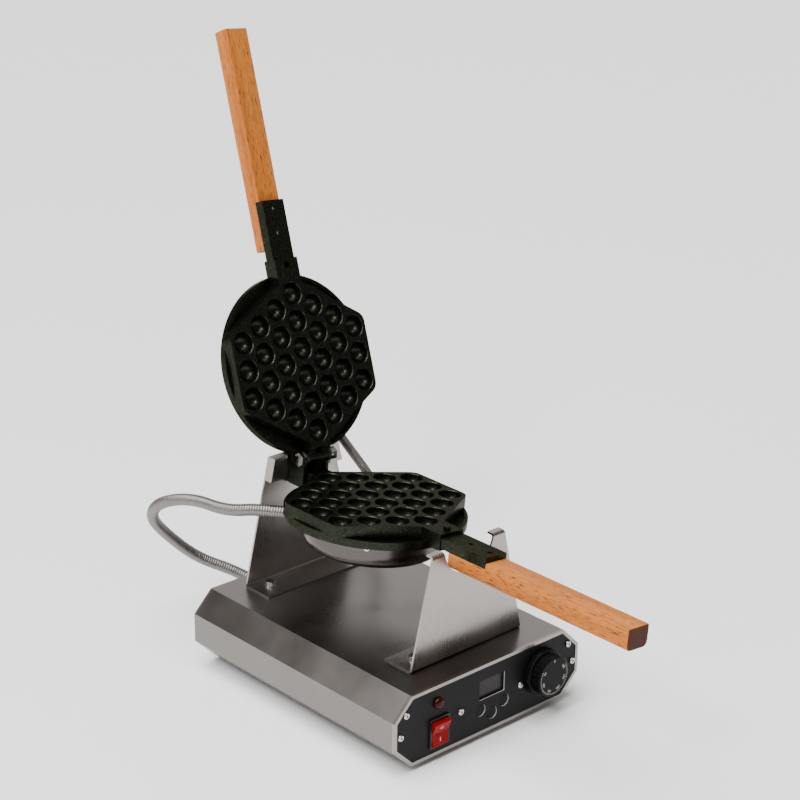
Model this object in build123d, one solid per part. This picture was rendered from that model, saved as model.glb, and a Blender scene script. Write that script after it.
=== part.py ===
from build123d import *
import math
import os

os.makedirs("parts", exist_ok=True)

# Millimetres. +Z is up and the control panel faces -Y. The sizes count from the table under the
# middle of the base; the files' origin is the middle of the whole object's box, on the table.
# The lid is modelled open, and the moulds lie a little rolled, as they rest.

# Base box
BASE_W = 250.0
BASE_L = 305.0
BASE_H = 75.0
CHAMFER_X = 22.0
CHAMFER_Z = 22.0
VENT_COUNT = 5
VENT_FROM_GLAND = 22.0
VENT_PITCH = 7.0
VENT_W = 3.0
VENT_L = 28.0
SHEET = 1.5
LIP_W = 13.0
FLANGE_W = 10.6
FACE_T = 3.0
RECESS_D = 1.6
RIM_W = 3.5
PANEL_T = 1.0
PANEL_GAP = 0.1
BOTTOM_T = 1.5
BOTTOM_SIDE_GAP = 1.5
BOTTOM_END_GAP = 0.5
BOTTOM_SLOT_COUNT = 7
BOTTOM_SLOT_PITCH = 12.0
BOTTOM_SLOT_W = 4.0
BOTTOM_SLOT_L = 60.0
BOTTOM_SCREW_IN = 45.0
FOOT_H = 6.0
FOOT_R = 11.0
FOOT_TAPER = 1.5
FOOT_CLEAR = 1.0
FOOT_IN = 30.5
FOOT_HOLE_R = 4.5
FOOT_HOLE_H = 3.0
FOOT_HEAD_R = 4.0
FOOT_HEAD_LOW = 0.6

# Screws of the sheet metal
SCREW_R = 2.0
SCREW_HEAD_R = 3.5
SCREW_HEAD_H = 2.2
SCREW_HEAD_ROUND = 1.4
SCREW_SOCKET = 2.5
SCREW_SOCKET_D = 1.2
SCREW_L = 8.0
SCREW_TIP = 3.0
FLAT_HEAD_H = 2.0

# Controls. Heights are from the underside of the base box. SWITCH_IN, LAMP_IN and KNOB_IN are
# the distances from the nearer side of the box to the middle of the piece.
SWITCH_IN = 58.0
SWITCH_Z = 25.0
SWITCH_W = 25.5
SWITCH_H = 31.5
BEZEL_T = 2.0
ROCKER_GAP = 0.4
ROCKER_W = 20.5
ROCKER_H = 26.5
ROCKER_TILT = 9.0
ROCKER_OUT = 8.2
ROCKER_DISH = 3.2
ROCKER_PIVOT_IN = 3.0
ROCKER_PIVOT_R = 1.0
ROCKER_CUT = 1.2
SWITCH_ROUND = 1.5
SWITCH_WALL = 0.7
SWITCH_WELL = 9.0
SWITCH_DEPTH = 27.0
SWITCH_TAB = (0.8, 8.0, 6.2)
SWITCH_TAB_PLACES = (6.0, 8.0)
LAMP_IN = 56.0
LAMP_Z = 56.0
LAMP_R = 6.0
LAMP_DOME = 5.0
LAMP_EDGE = 1.0
LAMP_NECK_R = 4.4
LAMP_NECK_L = 10.0
LAMP_FIT = 0.1
LAMP_NUT = 14.0
LAMP_NUT_T = 4.0
WINDOW_X = 4.0
WINDOW_Z = 47.5
WINDOW_W = 34.0
WINDOW_H = 21.0
DISPLAY_GAP = 0.4
DISPLAY_BACK = 3.2
GLASS_W = 27.0
GLASS_H = 16.4
GLASS_T = 0.6
GLASS_LEFT = 2.5
GLASS_UP = 1.2
BUTTON_R = 6.0
BUTTON_GAP = 0.5
BUTTON_CAP_T = 4.0
BUTTON_IN = 0.6
BUTTON_EDGE = 0.8
BUTTON_STEM_R = 2.0
BUTTON_STEM_GAP = 0.3
BUTTON_TRAVEL = 1.5
BUTTON_FROM_WINDOW = ((-15.0, 26.0), (1.0, 18.0), (17.0, 26.0))
BOARD_BACK = 12.0
BOARD_T = 1.6
BOARD_W = 54.0
BOARD_Z = (11.0, 63.5)
KEY_SWITCH = (6.0, 3.5)
# Each tall piece behind the board: middle from the window's, low edge, width, depth, height
BOARD_PIECES = ((-10.0, 40.0, 16.0, 14.0, 12.0), (14.0, 36.0, 16.0, 10.0, 20.0))
POST_X = 24.0
POST_Z = (14.5, 60.0)
POST_R = 3.0
POST_PIN_R = 1.5
POST_HOLE_R = 1.6
POST_PIN_L = 2.0
KNOB_IN = 53.5
KNOB_Z = 41.0
KNOB_R = 21.0
KNOB_OUT = 19.0
KNOB_EDGE = 0.8
KNOB_CAP_T = 4.0
KNOB_BORE_GAP = 0.05
SHAFT_END_GAP = 1.0
GRIP_COUNT = 24
GRIP_R = 1.1
GRIP_OUT = 0.6
GRIP_IN = 2.5
SKIRT_R = 24.0
SKIRT_T = 6.5
SKIRT_EDGE = 1.5
SKIRT_GAP = 0.4
DIAL_RING_R = 19.0
DIAL_RING_T = 1.2
SHAFT_R = 3.0
SHAFT_HOLE_GAP = 1.5
THERMOSTAT_W = 36.0
THERMOSTAT_Z = (-18.0, 16.0)
THERMOSTAT_L = 30.0
THERMOSTAT_TAB = (6.0, 8.0, 1.0)
THERMOSTAT_TAB_X = 9.0
SIDE_SCREWS = ((15.0, 57.0), (8.0, 36.0))
INNER_SCREW_Z = 35.0
INNER_SCREW_GAPS = (15.75, 4.5)
TERMINAL_IN = (45.0, 62.5)
TERMINAL_SIZE = (50.0, 20.0, 20.0)
TERMINAL_COUNT = 4
TERMINAL_PITCH = 12.0
TERMINAL_HOLE_IN = 4.5
TERMINAL_FLOOR = 8.0
TERMINAL_HOLE_R = 2.5
CONTACTOR_IN = (60.0, 57.5)
CONTACTOR_FOOT = (45.0, 55.0, 10.0)
CONTACTOR_BODY = (37.0, 43.0, 32.0)
CONTACTOR_SCREW_PLACES = (11.5, 17.5)
CONTACTOR_SCREW_R = 2.5
CONTACTOR_SCREW_H = 2.0

# Stands
STAND_T = 2.0
STAND_BEND = 1.5
STAND_FOOT_W = 149.0
STAND_SLOPE = 0.2336
STAND_FOOT_D = 36.0
FRONT_STAND_Y = -120.0
FRONT_STAND_H = 114.5
SHOULDER_D = 9.0
NOTCH_R = 33.0
REAR_STAND_Y = 131.5
REAR_STAND_H = 137.0
HEAD_H = 24.0
HEAD_D = 9.5
HEAD_LIP = 9.0
HEAD_NOTCH = 26.0
STAND_BOLT_X = 55.0
STAND_BOLT_IN = 15.0
BOLT_R = 3.0
BOLT_FLATS = 10.0
BOLT_HEAD_T = 4.0
BOLT_TAIL = 8.0
BOLT_TURN = 12.0
BOLT_NUT_T = 5.0
WASHER_R = 6.0
WASHER_T = 1.2

# The turning line of the moulds and the moulds themselves
AXIS_H = 118.3
REST_ROLL = 5.6
PITCH = 28.4
CELL_R = 11.5
CELL_DEPTH = 13.5
CELL_EDGE = 0.7
LATTICE_Y = 12.5
SIDE_MARGIN = 15.4
APEX_MARGIN = 16.432
HEX_CORNER_R = 12.0
HEX_T = 12.0
DISC_R = 92.5
DISC_T = 8.0
CHANNEL_RIM = 3.5
CHANNEL_D = 3.0
PARTING_GAP = 0.5
COVER_R = 73.0
COVER_T = 1.5
COVER_WALL = 15.0
COVER_BEND = 16.0
COVER_LUG_R = 5.0
COVER_SCREW_ANGLES = (20.0, 160.0, 222.0, 318.0)
COVER_SCREW_DOWN = 6.0
COVER_LUG_GAP = 0.2
COVER_LUG_T = 8.8
COVER_LUG_H = 13.0
HEATER_R = 48.0
HEATER_TUBE_R = 4.0
HEATER_GAP_ANGLE = 40.0
HEATER_END_L = 14.0
HEATER_PIN = (1.5, 6.0)
PAD_GAP = 0.3

# Hinge and swivel
HINGE_Y = 109.5
HINGE_UP = 14.0
OPEN_ANGLE = 113.0
KNUCKLE_R = 8.0
KNUCKLE_CLEAR = 0.8
STOP_GAP = 0.3
STOP_H = 7.0
HINGE_BOLT_R = 4.0
HINGE_FIT = 0.05
NECK_W = 30.0
NECK_T = 17.0
NECK_CELL_GAP = 0.2
FORK_W = 25.0
FORK_SLOT = 8.0
SIDE_GAP = 0.3
YOKE_BACK_GAP = 1.2
YOKE_WEB_T = 8.0
YOKE_CHEEK_T = 4.0
CHEEK_FRONT = 3.5
YOKE_SCREW_X = 7.0
YOKE_SCREW_R = 2.5
YOKE_SCREW_HOLE_D = 12.0
YOKE_SCREW_SHORT = 1.0
YOKE_HEAD_R = 4.3
YOKE_HEAD_GAP = 0.2
YOKE_HEAD_SUNK = 3.0
YOKE_HEAD_LOW = 0.4
HINGE_FLATS = 13.0
HINGE_HEAD_T = 5.3
HINGE_WASHER_T = 1.6
HINGE_NUT_T = 6.5
HINGE_BOLT_TAIL = 1.4
HINGE_NUT_ROOM = 2.5
SPINDLE_R = 8.0
SPINDLE_FIT = 0.05
BUSH_WALL = 2.5
BUSH_FLANGE_T = 1.0
BUSH_FLANGE_W = 2.5
SLEEVE_L = 8.0
SLEEVE_WALL = 3.0
NUT_T = 6.0
NUT_FLATS = 22.0
NUT_PLAY = 0.2
SPINDLE_TAIL = 2.0

# Tongues and wooden handles
BLOCK_L = 18.0
TONGUE_W = 28.0
TONGUE_T = 11.0
TONGUE_DROP = 3.5
TONGUE_L = 61.0
TONGUE_HOLES = (27.0, 52.5)
PEG_W = 5.0
PEG_H = 3.5
PEG_GAP = 0.4
PEG_BACK = 7.0
HANDLE_L = 230.0
HANDLE_H = 22.0
HANDLE_DROP = 9.0
HANDLE_GAP = 11.0
WOOD_GAP = 0.2
HANDLE_ROUND = 6.0
HANDLE_TOP_ROUND = 1.5
HANDLE_END_ROUND = 1.2
HANDLE_SCREW_R = 2.5
HANDLE_SCREW_SHORT = 2.0
HANDLE_HEAD_R = 4.5
HANDLE_HEAD_T = 5.0
HANDLE_HEAD_GAP = 0.3
HANDLE_HEAD_SUNK = 8.0
HANDLE_SOCKET = (4.0, 2.5)

# Hoses and their glands
LOWER_HOSE_R = 6.25
UPPER_HOSE_R = 5.0
HOSE_WALL = 1.5
RIB_DEPTH = 0.45
RIB_PITCH = 2.7
GLAND_WALL = 1.2
GLAND_R = 8.5
GLAND_L = 14.0
GLAND_NUT_T = 6.0
GLAND_TAIL = 6.0
GLAND_STEP = 0.6
GLAND_ROUND = 1.0
GLAND_LOCKNUT_T = 4.5
GLAND_LOCKNUT_WALL = 3.0
CORD_GLAND_R = 6.0
LOWER_GLAND_ANGLE = 128.0
UPPER_GLAND_ANGLE = 58.0
GLAND_DOWN = 8.7
LOWER_HOSE_X = 5.0
UPPER_HOSE_X = 40.0
BASE_GLAND_Z = 25.0
CORD_GLAND_IN = 45.0
CORD_GLAND_Z = 25.0
CORD_GLAND_BORE = 3.6
CORD_GLAND_NUT = (19.0, 6.0)
CORD_GLAND_CAP = (8.5, 11.0)
HOSE_STRAIGHT = 33.0
HOSE_INLET = 36.0
HOSE_CORNER = 0.45
# The corners of each hose between its two glands. The upper one is told as two lengths, which
# meet at its lie beside the swivel.
LOWER_ROUTE = ((-92.5, 136.7, 170.3), (-105.0, 179.3, 174.3), (-115.1, 223.1, 158.2), (-102.8, 256.2, 126.1),
               (-71.9, 266.5, 91.3), (-38.4, 259.7, 57.6), (-7.5, 234.1, 41.8))
UPPER_ROUTE_LID = ((74.5, 106.0, 172.5), (89.5, 107.0, 145.5), (104.5, 124.0, 124.0), (116.0, 151.5, 115.5))
HOSE_MEETING = (120.25, 175.25, 117.75)
UPPER_ROUTE_BASE = ((124.5, 199.0, 120.0), (118.5, 233.5, 116.0), (103.0, 258.0, 95.0), (82.5, 262.5, 66.5),
                    (61.5, 245.0, 42.0))

# Values worked out from those above
FRONT_Y = -BASE_L / 2
REAR_Y = BASE_L / 2
BASE_Z = FOOT_H
TOP_Z = BASE_Z + BASE_H
AXIS_Z = TOP_Z + AXIS_H
HINGE_Z = AXIS_Z + HINGE_UP
PANEL_FACE_Y = FRONT_Y + RECESS_D - PANEL_T
SWITCH_X = SWITCH_IN - BASE_W / 2
LAMP_X = LAMP_IN - BASE_W / 2
KNOB_X = BASE_W / 2 - KNOB_IN
CORD_GLAND_X = CORD_GLAND_IN - BASE_W / 2
VENT_X = CORD_GLAND_X + VENT_FROM_GLAND
FOOT_X = BASE_W / 2 - CHAMFER_X - LIP_W - FOOT_R - FOOT_CLEAR
FOOT_Y = BASE_L / 2 - FOOT_IN
C30 = math.cos(math.radians(30))
APEX_Y = 2.5 * PITCH + APEX_MARGIN / C30
SIDE_X = 3 * PITCH * C30 + SIDE_MARGIN
MOULD_T = HEX_T + DISC_T
COVER_DEPTH = COVER_WALL + COVER_BEND
NECK_FRONT_Y = LATTICE_Y - APEX_Y
BLOCK_END_Y = NECK_FRONT_Y - BLOCK_L
TONGUE_END_Y = BLOCK_END_Y - TONGUE_L
STAND_HALF = STAND_FOOT_W / 2
REAR_PLATE_Y = REAR_STAND_Y - STAND_T
WEB_BACK_Y = REAR_PLATE_Y - YOKE_BACK_GAP
WEB_FRONT_Y = WEB_BACK_Y - YOKE_WEB_T
BUSH_R = SPINDLE_R + SPINDLE_FIT + BUSH_WALL
GLAND_OUT = COVER_R + GLAND_L
FROM_BELOW = (Align.CENTER, Align.CENTER, Align.MIN)
HOSES = ("lower_hose", "upper_hose_lid_end", "upper_hose_base_end")
PIECES = {}


def cyl_x(y, z, x0, x1, r):
    return Pos((x0 + x1) / 2, y, z) * Rot(0, 90, 0) * Cylinder(r, abs(x1 - x0))


def cyl_y(x, z, y0, y1, r):
    return Pos(x, (y0 + y1) / 2, z) * Rot(90, 0, 0) * Cylinder(r, abs(y1 - y0))


def cyl_z(x, y, z0, z1, r):
    return Pos(x, y, (z0 + z1) / 2) * Cylinder(r, abs(z1 - z0))


def block(x0, x1, y0, y1, z0, z1):
    place = Pos((x0 + x1) / 2, (y0 + y1) / 2, (z0 + z1) / 2)
    return place * Box(abs(x1 - x0), abs(y1 - y0), abs(z1 - z0))


def prism_y(face, y0, y1):
    return Pos(0, y1, 0) * extrude(Plane.XZ * face, amount=y1 - y0)


def prism_x(face, x0, x1):
    return Pos(x0, 0, 0) * extrude(Plane.YZ * face, amount=x1 - x0)


def outline(points):
    return make_face(Polyline(*points, close=True))


def hex_face(across_flats):
    return RegularPolygon(across_flats / 2, 6, major_radius=False)


def shrink(face, by):
    return offset(face, -by, kind=Kind.INTERSECTION)


# Base

def octagon():
    half, z0, z1 = BASE_W / 2, BASE_Z, TOP_Z
    points = [(half - CHAMFER_X, z0), (half, z0 + CHAMFER_Z), (half, z1 - CHAMFER_Z), (half - CHAMFER_X, z1)]
    points += [(-x, z) for x, z in reversed(points)]
    return outline(points)


def stand_bolt_places():
    front = FRONT_STAND_Y + STAND_T + STAND_BOLT_IN
    rear = REAR_PLATE_Y - STAND_BOLT_IN
    return [(x, y) for y in (front, rear) for x in (-STAND_BOLT_X, STAND_BOLT_X)]


def base_shell():
    y0, y1 = FRONT_Y + FACE_T, REAR_Y - FACE_T
    inner = shrink(octagon(), SHEET)
    shell = prism_y(octagon(), y0, y1) - prism_y(inner, y0 + SHEET, y1 - SHEET)
    shell -= prism_y(shrink(octagon(), FLANGE_W), y0, y1)
    flat = BASE_W / 2 - CHAMFER_X - LIP_W
    shell -= block(-flat, flat, y0 + LIP_W, y1 - LIP_W, BASE_Z, BASE_Z + SHEET)
    for x, y in stand_bolt_places():
        shell -= cyl_z(x, y, TOP_Z - SHEET, TOP_Z, BOLT_R)
    for x, z in side_screws():
        shell -= cyl_y(x, BASE_Z + z, y0, y0 + SHEET, SCREW_R)
        shell -= cyl_y(x, BASE_Z + z, y1 - SHEET, y1, SCREW_R)
    for x, y in bottom_screw_places():
        shell -= cyl_z(x, y, BASE_Z, BASE_Z + SHEET, SCREW_R)
    return shell


def bottom_screw_places():
    x = BASE_W / 2 - CHAMFER_X - LIP_W / 2
    return [(sx * x, sy * (BASE_L / 2 - BOTTOM_SCREW_IN)) for sx in (-1, 1) for sy in (-1, 0, 1)]


def bottom_plate():
    half = BASE_W / 2 - CHAMFER_X - BOTTOM_SIDE_GAP
    y = BASE_L / 2 - FACE_T - SHEET - BOTTOM_END_GAP
    z = BASE_Z + SHEET
    plate = block(-half, half, -y, y, z, z + BOTTOM_T)
    for x, y in bottom_screw_places():
        plate -= cyl_z(x, y, z, z + BOTTOM_T, SCREW_R)
    for x, y in foot_places():
        plate -= cyl_z(x, y, z, z + BOTTOM_T, SCREW_R)
    for k in range(BOTTOM_SLOT_COUNT):
        y = (k - (BOTTOM_SLOT_COUNT - 1) / 2) * BOTTOM_SLOT_PITCH
        plate -= Pos(0, y, z) * Box(BOTTOM_SLOT_L, BOTTOM_SLOT_W, BOTTOM_T, align=FROM_BELOW)
    return plate


def foot_places():
    return [(sx * FOOT_X, sy * FOOT_Y) for sx in (-1, 1) for sy in (-1, 1)]


def rubber_feet():
    feet = []
    top = BASE_Z + SHEET
    for x, y in foot_places():
        foot = Pos(x, y, top / 2) * Cone(FOOT_R - FOOT_TAPER, FOOT_R, top)
        foot -= cyl_z(x, y, 0, top, SCREW_R)
        foot -= cyl_z(x, y, 0, FOOT_HOLE_H, FOOT_HOLE_R)
        feet.append(foot)
    return feet


def foot_screws():
    screws = []
    z = BASE_Z + SHEET + BOTTOM_T + SCREW_TIP
    for x, y in foot_places():
        head = cyl_z(x, y, FOOT_HEAD_LOW, FOOT_HOLE_H, FOOT_HEAD_R)
        screws.append(head + cyl_z(x, y, FOOT_HOLE_H, z, SCREW_R))
    return screws


def bottom_screws():
    screws = []
    tip = BASE_Z + SHEET + BOTTOM_T + SCREW_TIP
    for x, y in bottom_screw_places():
        head = cyl_z(x, y, BASE_Z - FLAT_HEAD_H, BASE_Z, SCREW_HEAD_R)
        head -= Pos(x, y, BASE_Z - FLAT_HEAD_H) * extrude(hex_face(SCREW_SOCKET), amount=SCREW_SOCKET_D)
        screws.append(head + cyl_z(x, y, BASE_Z, tip, SCREW_R))
    return screws


def side_screws():
    return [(side * (BASE_W / 2 - inset), z) for side in (-1, 1) for inset, z in SIDE_SCREWS]


def inner_screws():
    left, right = INNER_SCREW_GAPS
    return [(SWITCH_X + SWITCH_W / 2 + left, INNER_SCREW_Z), (KNOB_X - SKIRT_R - right, INNER_SCREW_Z)]


def button_places():
    return [(WINDOW_X + x, BASE_Z + z) for x, z in BUTTON_FROM_WINDOW]


def panel_openings(y0, y1):
    w, h, z = ROCKER_W / 2 + ROCKER_CUT, ROCKER_H / 2 + ROCKER_CUT, BASE_Z + SWITCH_Z
    cuts = [block(SWITCH_X - w, SWITCH_X + w, y0, y1, z - h, z + h)]
    cuts.append(cyl_y(LAMP_X, BASE_Z + LAMP_Z, y0, y1, LAMP_NECK_R + LAMP_FIT))
    cuts.append(block(WINDOW_X - WINDOW_W / 2, WINDOW_X + WINDOW_W / 2, y0, y1,
                      BASE_Z + WINDOW_Z - WINDOW_H / 2, BASE_Z + WINDOW_Z + WINDOW_H / 2))
    for x, z in button_places():
        cuts.append(cyl_y(x, z, y0, y1, BUTTON_R + BUTTON_GAP))
    cuts.append(cyl_y(KNOB_X, BASE_Z + KNOB_Z, y0, y1, SHAFT_R + SHAFT_HOLE_GAP))
    for x, z in side_screws() + inner_screws():
        cuts.append(cyl_y(x, BASE_Z + z, y0, y1, SCREW_R))
    return cuts


def front_frame():
    frame = prism_y(octagon(), FRONT_Y, FRONT_Y + FACE_T)
    frame -= prism_y(shrink(octagon(), RIM_W), FRONT_Y, FRONT_Y + RECESS_D)
    return frame - panel_openings(FRONT_Y, FRONT_Y + FACE_T)


def control_panel():
    panel = prism_y(shrink(octagon(), RIM_W + PANEL_GAP), PANEL_FACE_Y, PANEL_FACE_Y + PANEL_T)
    return panel - panel_openings(PANEL_FACE_Y, PANEL_FACE_Y + PANEL_T)


def button_head(x, z, y, direction):
    dome = Pos(x, y, z) * Rot(-90 * direction, 0, 0) * Cylinder(SCREW_HEAD_R, SCREW_HEAD_H, align=FROM_BELOW)
    dome = fillet(dome.edges().sort_by(Axis.Y)[0 if direction < 0 else -1], SCREW_HEAD_ROUND)
    tip = y + direction * SCREW_HEAD_H
    s0, s1 = sorted((tip, tip - direction * SCREW_SOCKET_D))
    socket = prism_y(Pos(x, z) * hex_face(SCREW_SOCKET), s0, s1)
    y0, y1 = sorted((y, y - direction * SCREW_L))
    return dome - socket + cyl_y(x, z, y0, y1, SCREW_R)


def panel_screws():
    return [button_head(x, BASE_Z + z, PANEL_FACE_Y, -1) for x, z in side_screws() + inner_screws()]


def rear_panel():
    plate = prism_y(octagon(), REAR_Y - FACE_T, REAR_Y)
    for x, hose_r in base_hose_places():
        plate -= cyl_y(x, BASE_Z + BASE_GLAND_Z, REAR_Y - FACE_T, REAR_Y, hose_r)
    plate -= cyl_y(CORD_GLAND_X, BASE_Z + CORD_GLAND_Z, REAR_Y - FACE_T, REAR_Y, CORD_GLAND_R)
    for x, z in side_screws():
        plate -= cyl_y(x, BASE_Z + z, REAR_Y - FACE_T, REAR_Y, SCREW_R)
    z0 = BASE_Z + (BASE_H - VENT_L) / 2
    for k in range(VENT_COUNT):
        x0 = VENT_X + VENT_PITCH * k - VENT_W / 2
        plate -= block(x0, x0 + VENT_W, REAR_Y - FACE_T, REAR_Y, z0, z0 + VENT_L)
    return plate


def rear_screws():
    return [button_head(x, BASE_Z + z, REAR_Y, 1) for x, z in side_screws()]


# Controls

def rocker_y():
    return PANEL_FACE_Y + ROCKER_PIVOT_IN


def switch_housing():
    z = BASE_Z + SWITCH_Z
    face = PANEL_FACE_Y
    w, h = SWITCH_W / 2, SWITCH_H / 2
    bezel = block(SWITCH_X - w, SWITCH_X + w, face - BEZEL_T, face, z - h, z + h)
    bezel = fillet(bezel.edges().filter_by(Axis.Y), SWITCH_ROUND)
    w, h = ROCKER_W / 2 + ROCKER_GAP, ROCKER_H / 2 + ROCKER_GAP
    reach, tall, back = w + SWITCH_WALL, h + SWITCH_WALL, face + SWITCH_DEPTH
    body = bezel + block(SWITCH_X - reach, SWITCH_X + reach, face, back, z - tall, z + tall)
    body -= block(SWITCH_X - w, SWITCH_X + w, face - BEZEL_T, face + SWITCH_WELL, z - h, z + h)
    body -= cyl_x(rocker_y(), z, SWITCH_X - reach, SWITCH_X + reach, ROCKER_PIVOT_R)
    dx, dz = SWITCH_TAB_PLACES
    for x in (SWITCH_X - dx, SWITCH_X + dx):
        for tab_z in (z - dz, z + dz):
            body += Pos(x, back + SWITCH_TAB[1] / 2, tab_z) * Box(*SWITCH_TAB)
    return body


def rocker():
    z, y = BASE_Z + SWITCH_Z, rocker_y()
    h = ROCKER_H / 2 - 0.6
    front = y - ROCKER_OUT
    face = outline([(front, z - h), (front + ROCKER_DISH, z), (front, z + h), (y + 0.5, z + h),
                    (y + 3.0, z), (y + 0.5, z - h)])
    body = prism_x(face, SWITCH_X - ROCKER_W / 2, SWITCH_X + ROCKER_W / 2)
    reach = ROCKER_W / 2 + ROCKER_GAP + SWITCH_WALL
    body += cyl_x(y, z, SWITCH_X - reach, SWITCH_X + reach, ROCKER_PIVOT_R - HINGE_FIT)
    return body.rotate(Axis((0, y, z), (1, 0, 0)), ROCKER_TILT)


def lamp_lens():
    z, face = BASE_Z + LAMP_Z, PANEL_FACE_Y
    dome = cyl_y(LAMP_X, z, face - LAMP_DOME, face, LAMP_R)
    dome = fillet(dome.edges().sort_by(Axis.Y)[0], LAMP_DOME - LAMP_EDGE)
    return dome + cyl_y(LAMP_X, z, face, face + LAMP_NECK_L, LAMP_NECK_R)


def lamp_nut():
    z, y = BASE_Z + LAMP_Z, FRONT_Y + FACE_T
    nut = prism_y(Pos(LAMP_X, z) * hex_face(LAMP_NUT), y, y + LAMP_NUT_T)
    return nut - cyl_y(LAMP_X, z, y, y + LAMP_NUT_T, LAMP_NECK_R)


def timer_glass():
    y = PANEL_FACE_Y + DISPLAY_BACK
    x, z = WINDOW_X - GLASS_LEFT, BASE_Z + WINDOW_Z + GLASS_UP
    return block(x - GLASS_W / 2, x + GLASS_W / 2, y, y + GLASS_T, z - GLASS_H / 2, z + GLASS_H / 2)


def timer_display():
    w, h = WINDOW_W / 2 - DISPLAY_GAP, WINDOW_H / 2 - DISPLAY_GAP
    z, y = BASE_Z + WINDOW_Z, PANEL_FACE_Y + DISPLAY_BACK
    return block(WINDOW_X - w, WINDOW_X + w, y, PANEL_FACE_Y + BOARD_BACK, z - h, z + h) - timer_glass()


def board_posts():
    return [(WINDOW_X + side * POST_X, BASE_Z + z) for side in (-1, 1) for z in POST_Z]


def timer_board():
    y = PANEL_FACE_Y + BOARD_BACK
    back = y + BOARD_T
    z0, z1 = BOARD_Z
    board = block(WINDOW_X - BOARD_W / 2, WINDOW_X + BOARD_W / 2, y, back, BASE_Z + z0, BASE_Z + z1)
    for x, z in board_posts():
        board -= cyl_y(x, z, y, back, POST_HOLE_R)
    half, key_t = KEY_SWITCH[0] / 2, KEY_SWITCH[1]
    for x, z in button_places():
        board += block(x - half, x + half, y - key_t, y, z - half, z + half)
    for middle, low, width, depth, height in BOARD_PIECES:
        x, z = WINDOW_X + middle, BASE_Z + low
        board += block(x - width / 2, x + width / 2, back, back + depth, z, z + height)
    return board


def timer_posts():
    posts = []
    y0, y1 = FRONT_Y + FACE_T, PANEL_FACE_Y + BOARD_BACK
    for x, z in board_posts():
        pin = cyl_y(x, z, y1, y1 + BOARD_T + POST_PIN_L, POST_PIN_R)
        posts.append(cyl_y(x, z, y0, y1, POST_R) + pin)
    return posts


def timer_button(index):
    x, z = button_places()[index]
    tip = PANEL_FACE_Y + BUTTON_IN
    stem_end = PANEL_FACE_Y + BOARD_BACK - KEY_SWITCH[1] - BUTTON_TRAVEL - BUTTON_STEM_GAP
    cap = cyl_y(x, z, tip, tip + BUTTON_CAP_T, BUTTON_R)
    cap = fillet(cap.edges().sort_by(Axis.Y)[0], BUTTON_EDGE)
    return cap + cyl_y(x, z, tip + BUTTON_CAP_T, stem_end, BUTTON_STEM_R)


def dial_ring():
    z, y = BASE_Z + KNOB_Z, PANEL_FACE_Y
    disc = cyl_y(KNOB_X, z, y - DIAL_RING_T, y, DIAL_RING_R)
    return disc - cyl_y(KNOB_X, z, y - DIAL_RING_T, y, SHAFT_R + SHAFT_HOLE_GAP)


def temperature_knob():
    z, y = BASE_Z + KNOB_Z, PANEL_FACE_Y - DIAL_RING_T - SKIRT_GAP
    skirt = cyl_y(KNOB_X, z, y - SKIRT_T, y, SKIRT_R)
    skirt = fillet(skirt.edges().sort_by(Axis.Y)[0], SKIRT_EDGE)
    tip = PANEL_FACE_Y - KNOB_OUT
    cap = cyl_y(KNOB_X, z, tip, y - SKIRT_T, KNOB_R)
    cap = chamfer(cap.edges().sort_by(Axis.Y)[0], KNOB_EDGE)
    knob = skirt + cap
    reach = KNOB_R + GRIP_OUT
    for k in range(GRIP_COUNT):
        a = math.radians((k + 0.5) * 360 / GRIP_COUNT)
        groove_x, groove_z = KNOB_X + reach * math.cos(a), z + reach * math.sin(a)
        knob -= cyl_y(groove_x, groove_z, tip + GRIP_IN, y - SKIRT_T, GRIP_R)
    return knob - cyl_y(KNOB_X, z, tip + KNOB_CAP_T, y, SHAFT_R + KNOB_BORE_GAP)


def thermostat_body():
    z, y = BASE_Z + KNOB_Z, FRONT_Y + FACE_T
    half, back = THERMOSTAT_W / 2, y + THERMOSTAT_L
    low, high = THERMOSTAT_Z
    body = block(KNOB_X - half, KNOB_X + half, y, back, z + low, z + high)
    shaft_end = PANEL_FACE_Y - KNOB_OUT + KNOB_CAP_T + SHAFT_END_GAP
    body += cyl_y(KNOB_X, z, shaft_end, y, SHAFT_R)
    for dx in (-THERMOSTAT_TAB_X, THERMOSTAT_TAB_X):
        place = Pos(KNOB_X + dx, back + THERMOSTAT_TAB[1] / 2, z - THERMOSTAT_TAB[2] / 2)
        body += place * Box(*THERMOSTAT_TAB)
    return body


def terminal_block():
    z = BASE_Z + SHEET + BOTTOM_T
    x0, y1 = TERMINAL_IN[0] - BASE_W / 2, REAR_Y - TERMINAL_IN[1]
    length, depth, height = TERMINAL_SIZE
    body = block(x0, x0 + length, y1 - depth, y1, z, z + height)
    for k in range(TERMINAL_COUNT):
        x = x0 + length / 2 + (k - (TERMINAL_COUNT - 1) / 2) * TERMINAL_PITCH
        for y in (y1 - depth + TERMINAL_HOLE_IN, y1 - TERMINAL_HOLE_IN):
            body -= cyl_z(x, y, z + TERMINAL_FLOOR, z + height, TERMINAL_HOLE_R)
    return body


def contactor():
    z = BASE_Z + SHEET + BOTTOM_T
    x = BASE_W / 2 - CONTACTOR_IN[0] - CONTACTOR_FOOT[0] / 2
    y = REAR_Y - CONTACTOR_IN[1] - CONTACTOR_FOOT[1] / 2
    body = Part()
    for length, depth, height in (CONTACTOR_FOOT, CONTACTOR_BODY):
        body += block(x - length / 2, x + length / 2, y - depth / 2, y + depth / 2, z, z + height)
        z += height
    dx, dy = CONTACTOR_SCREW_PLACES
    for screw_x in (x - dx, x, x + dx):
        for screw_y in (y - dy, y + dy):
            body += cyl_z(screw_x, screw_y, z, z + CONTACTOR_SCREW_H, CONTACTOR_SCREW_R)
    return body


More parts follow.
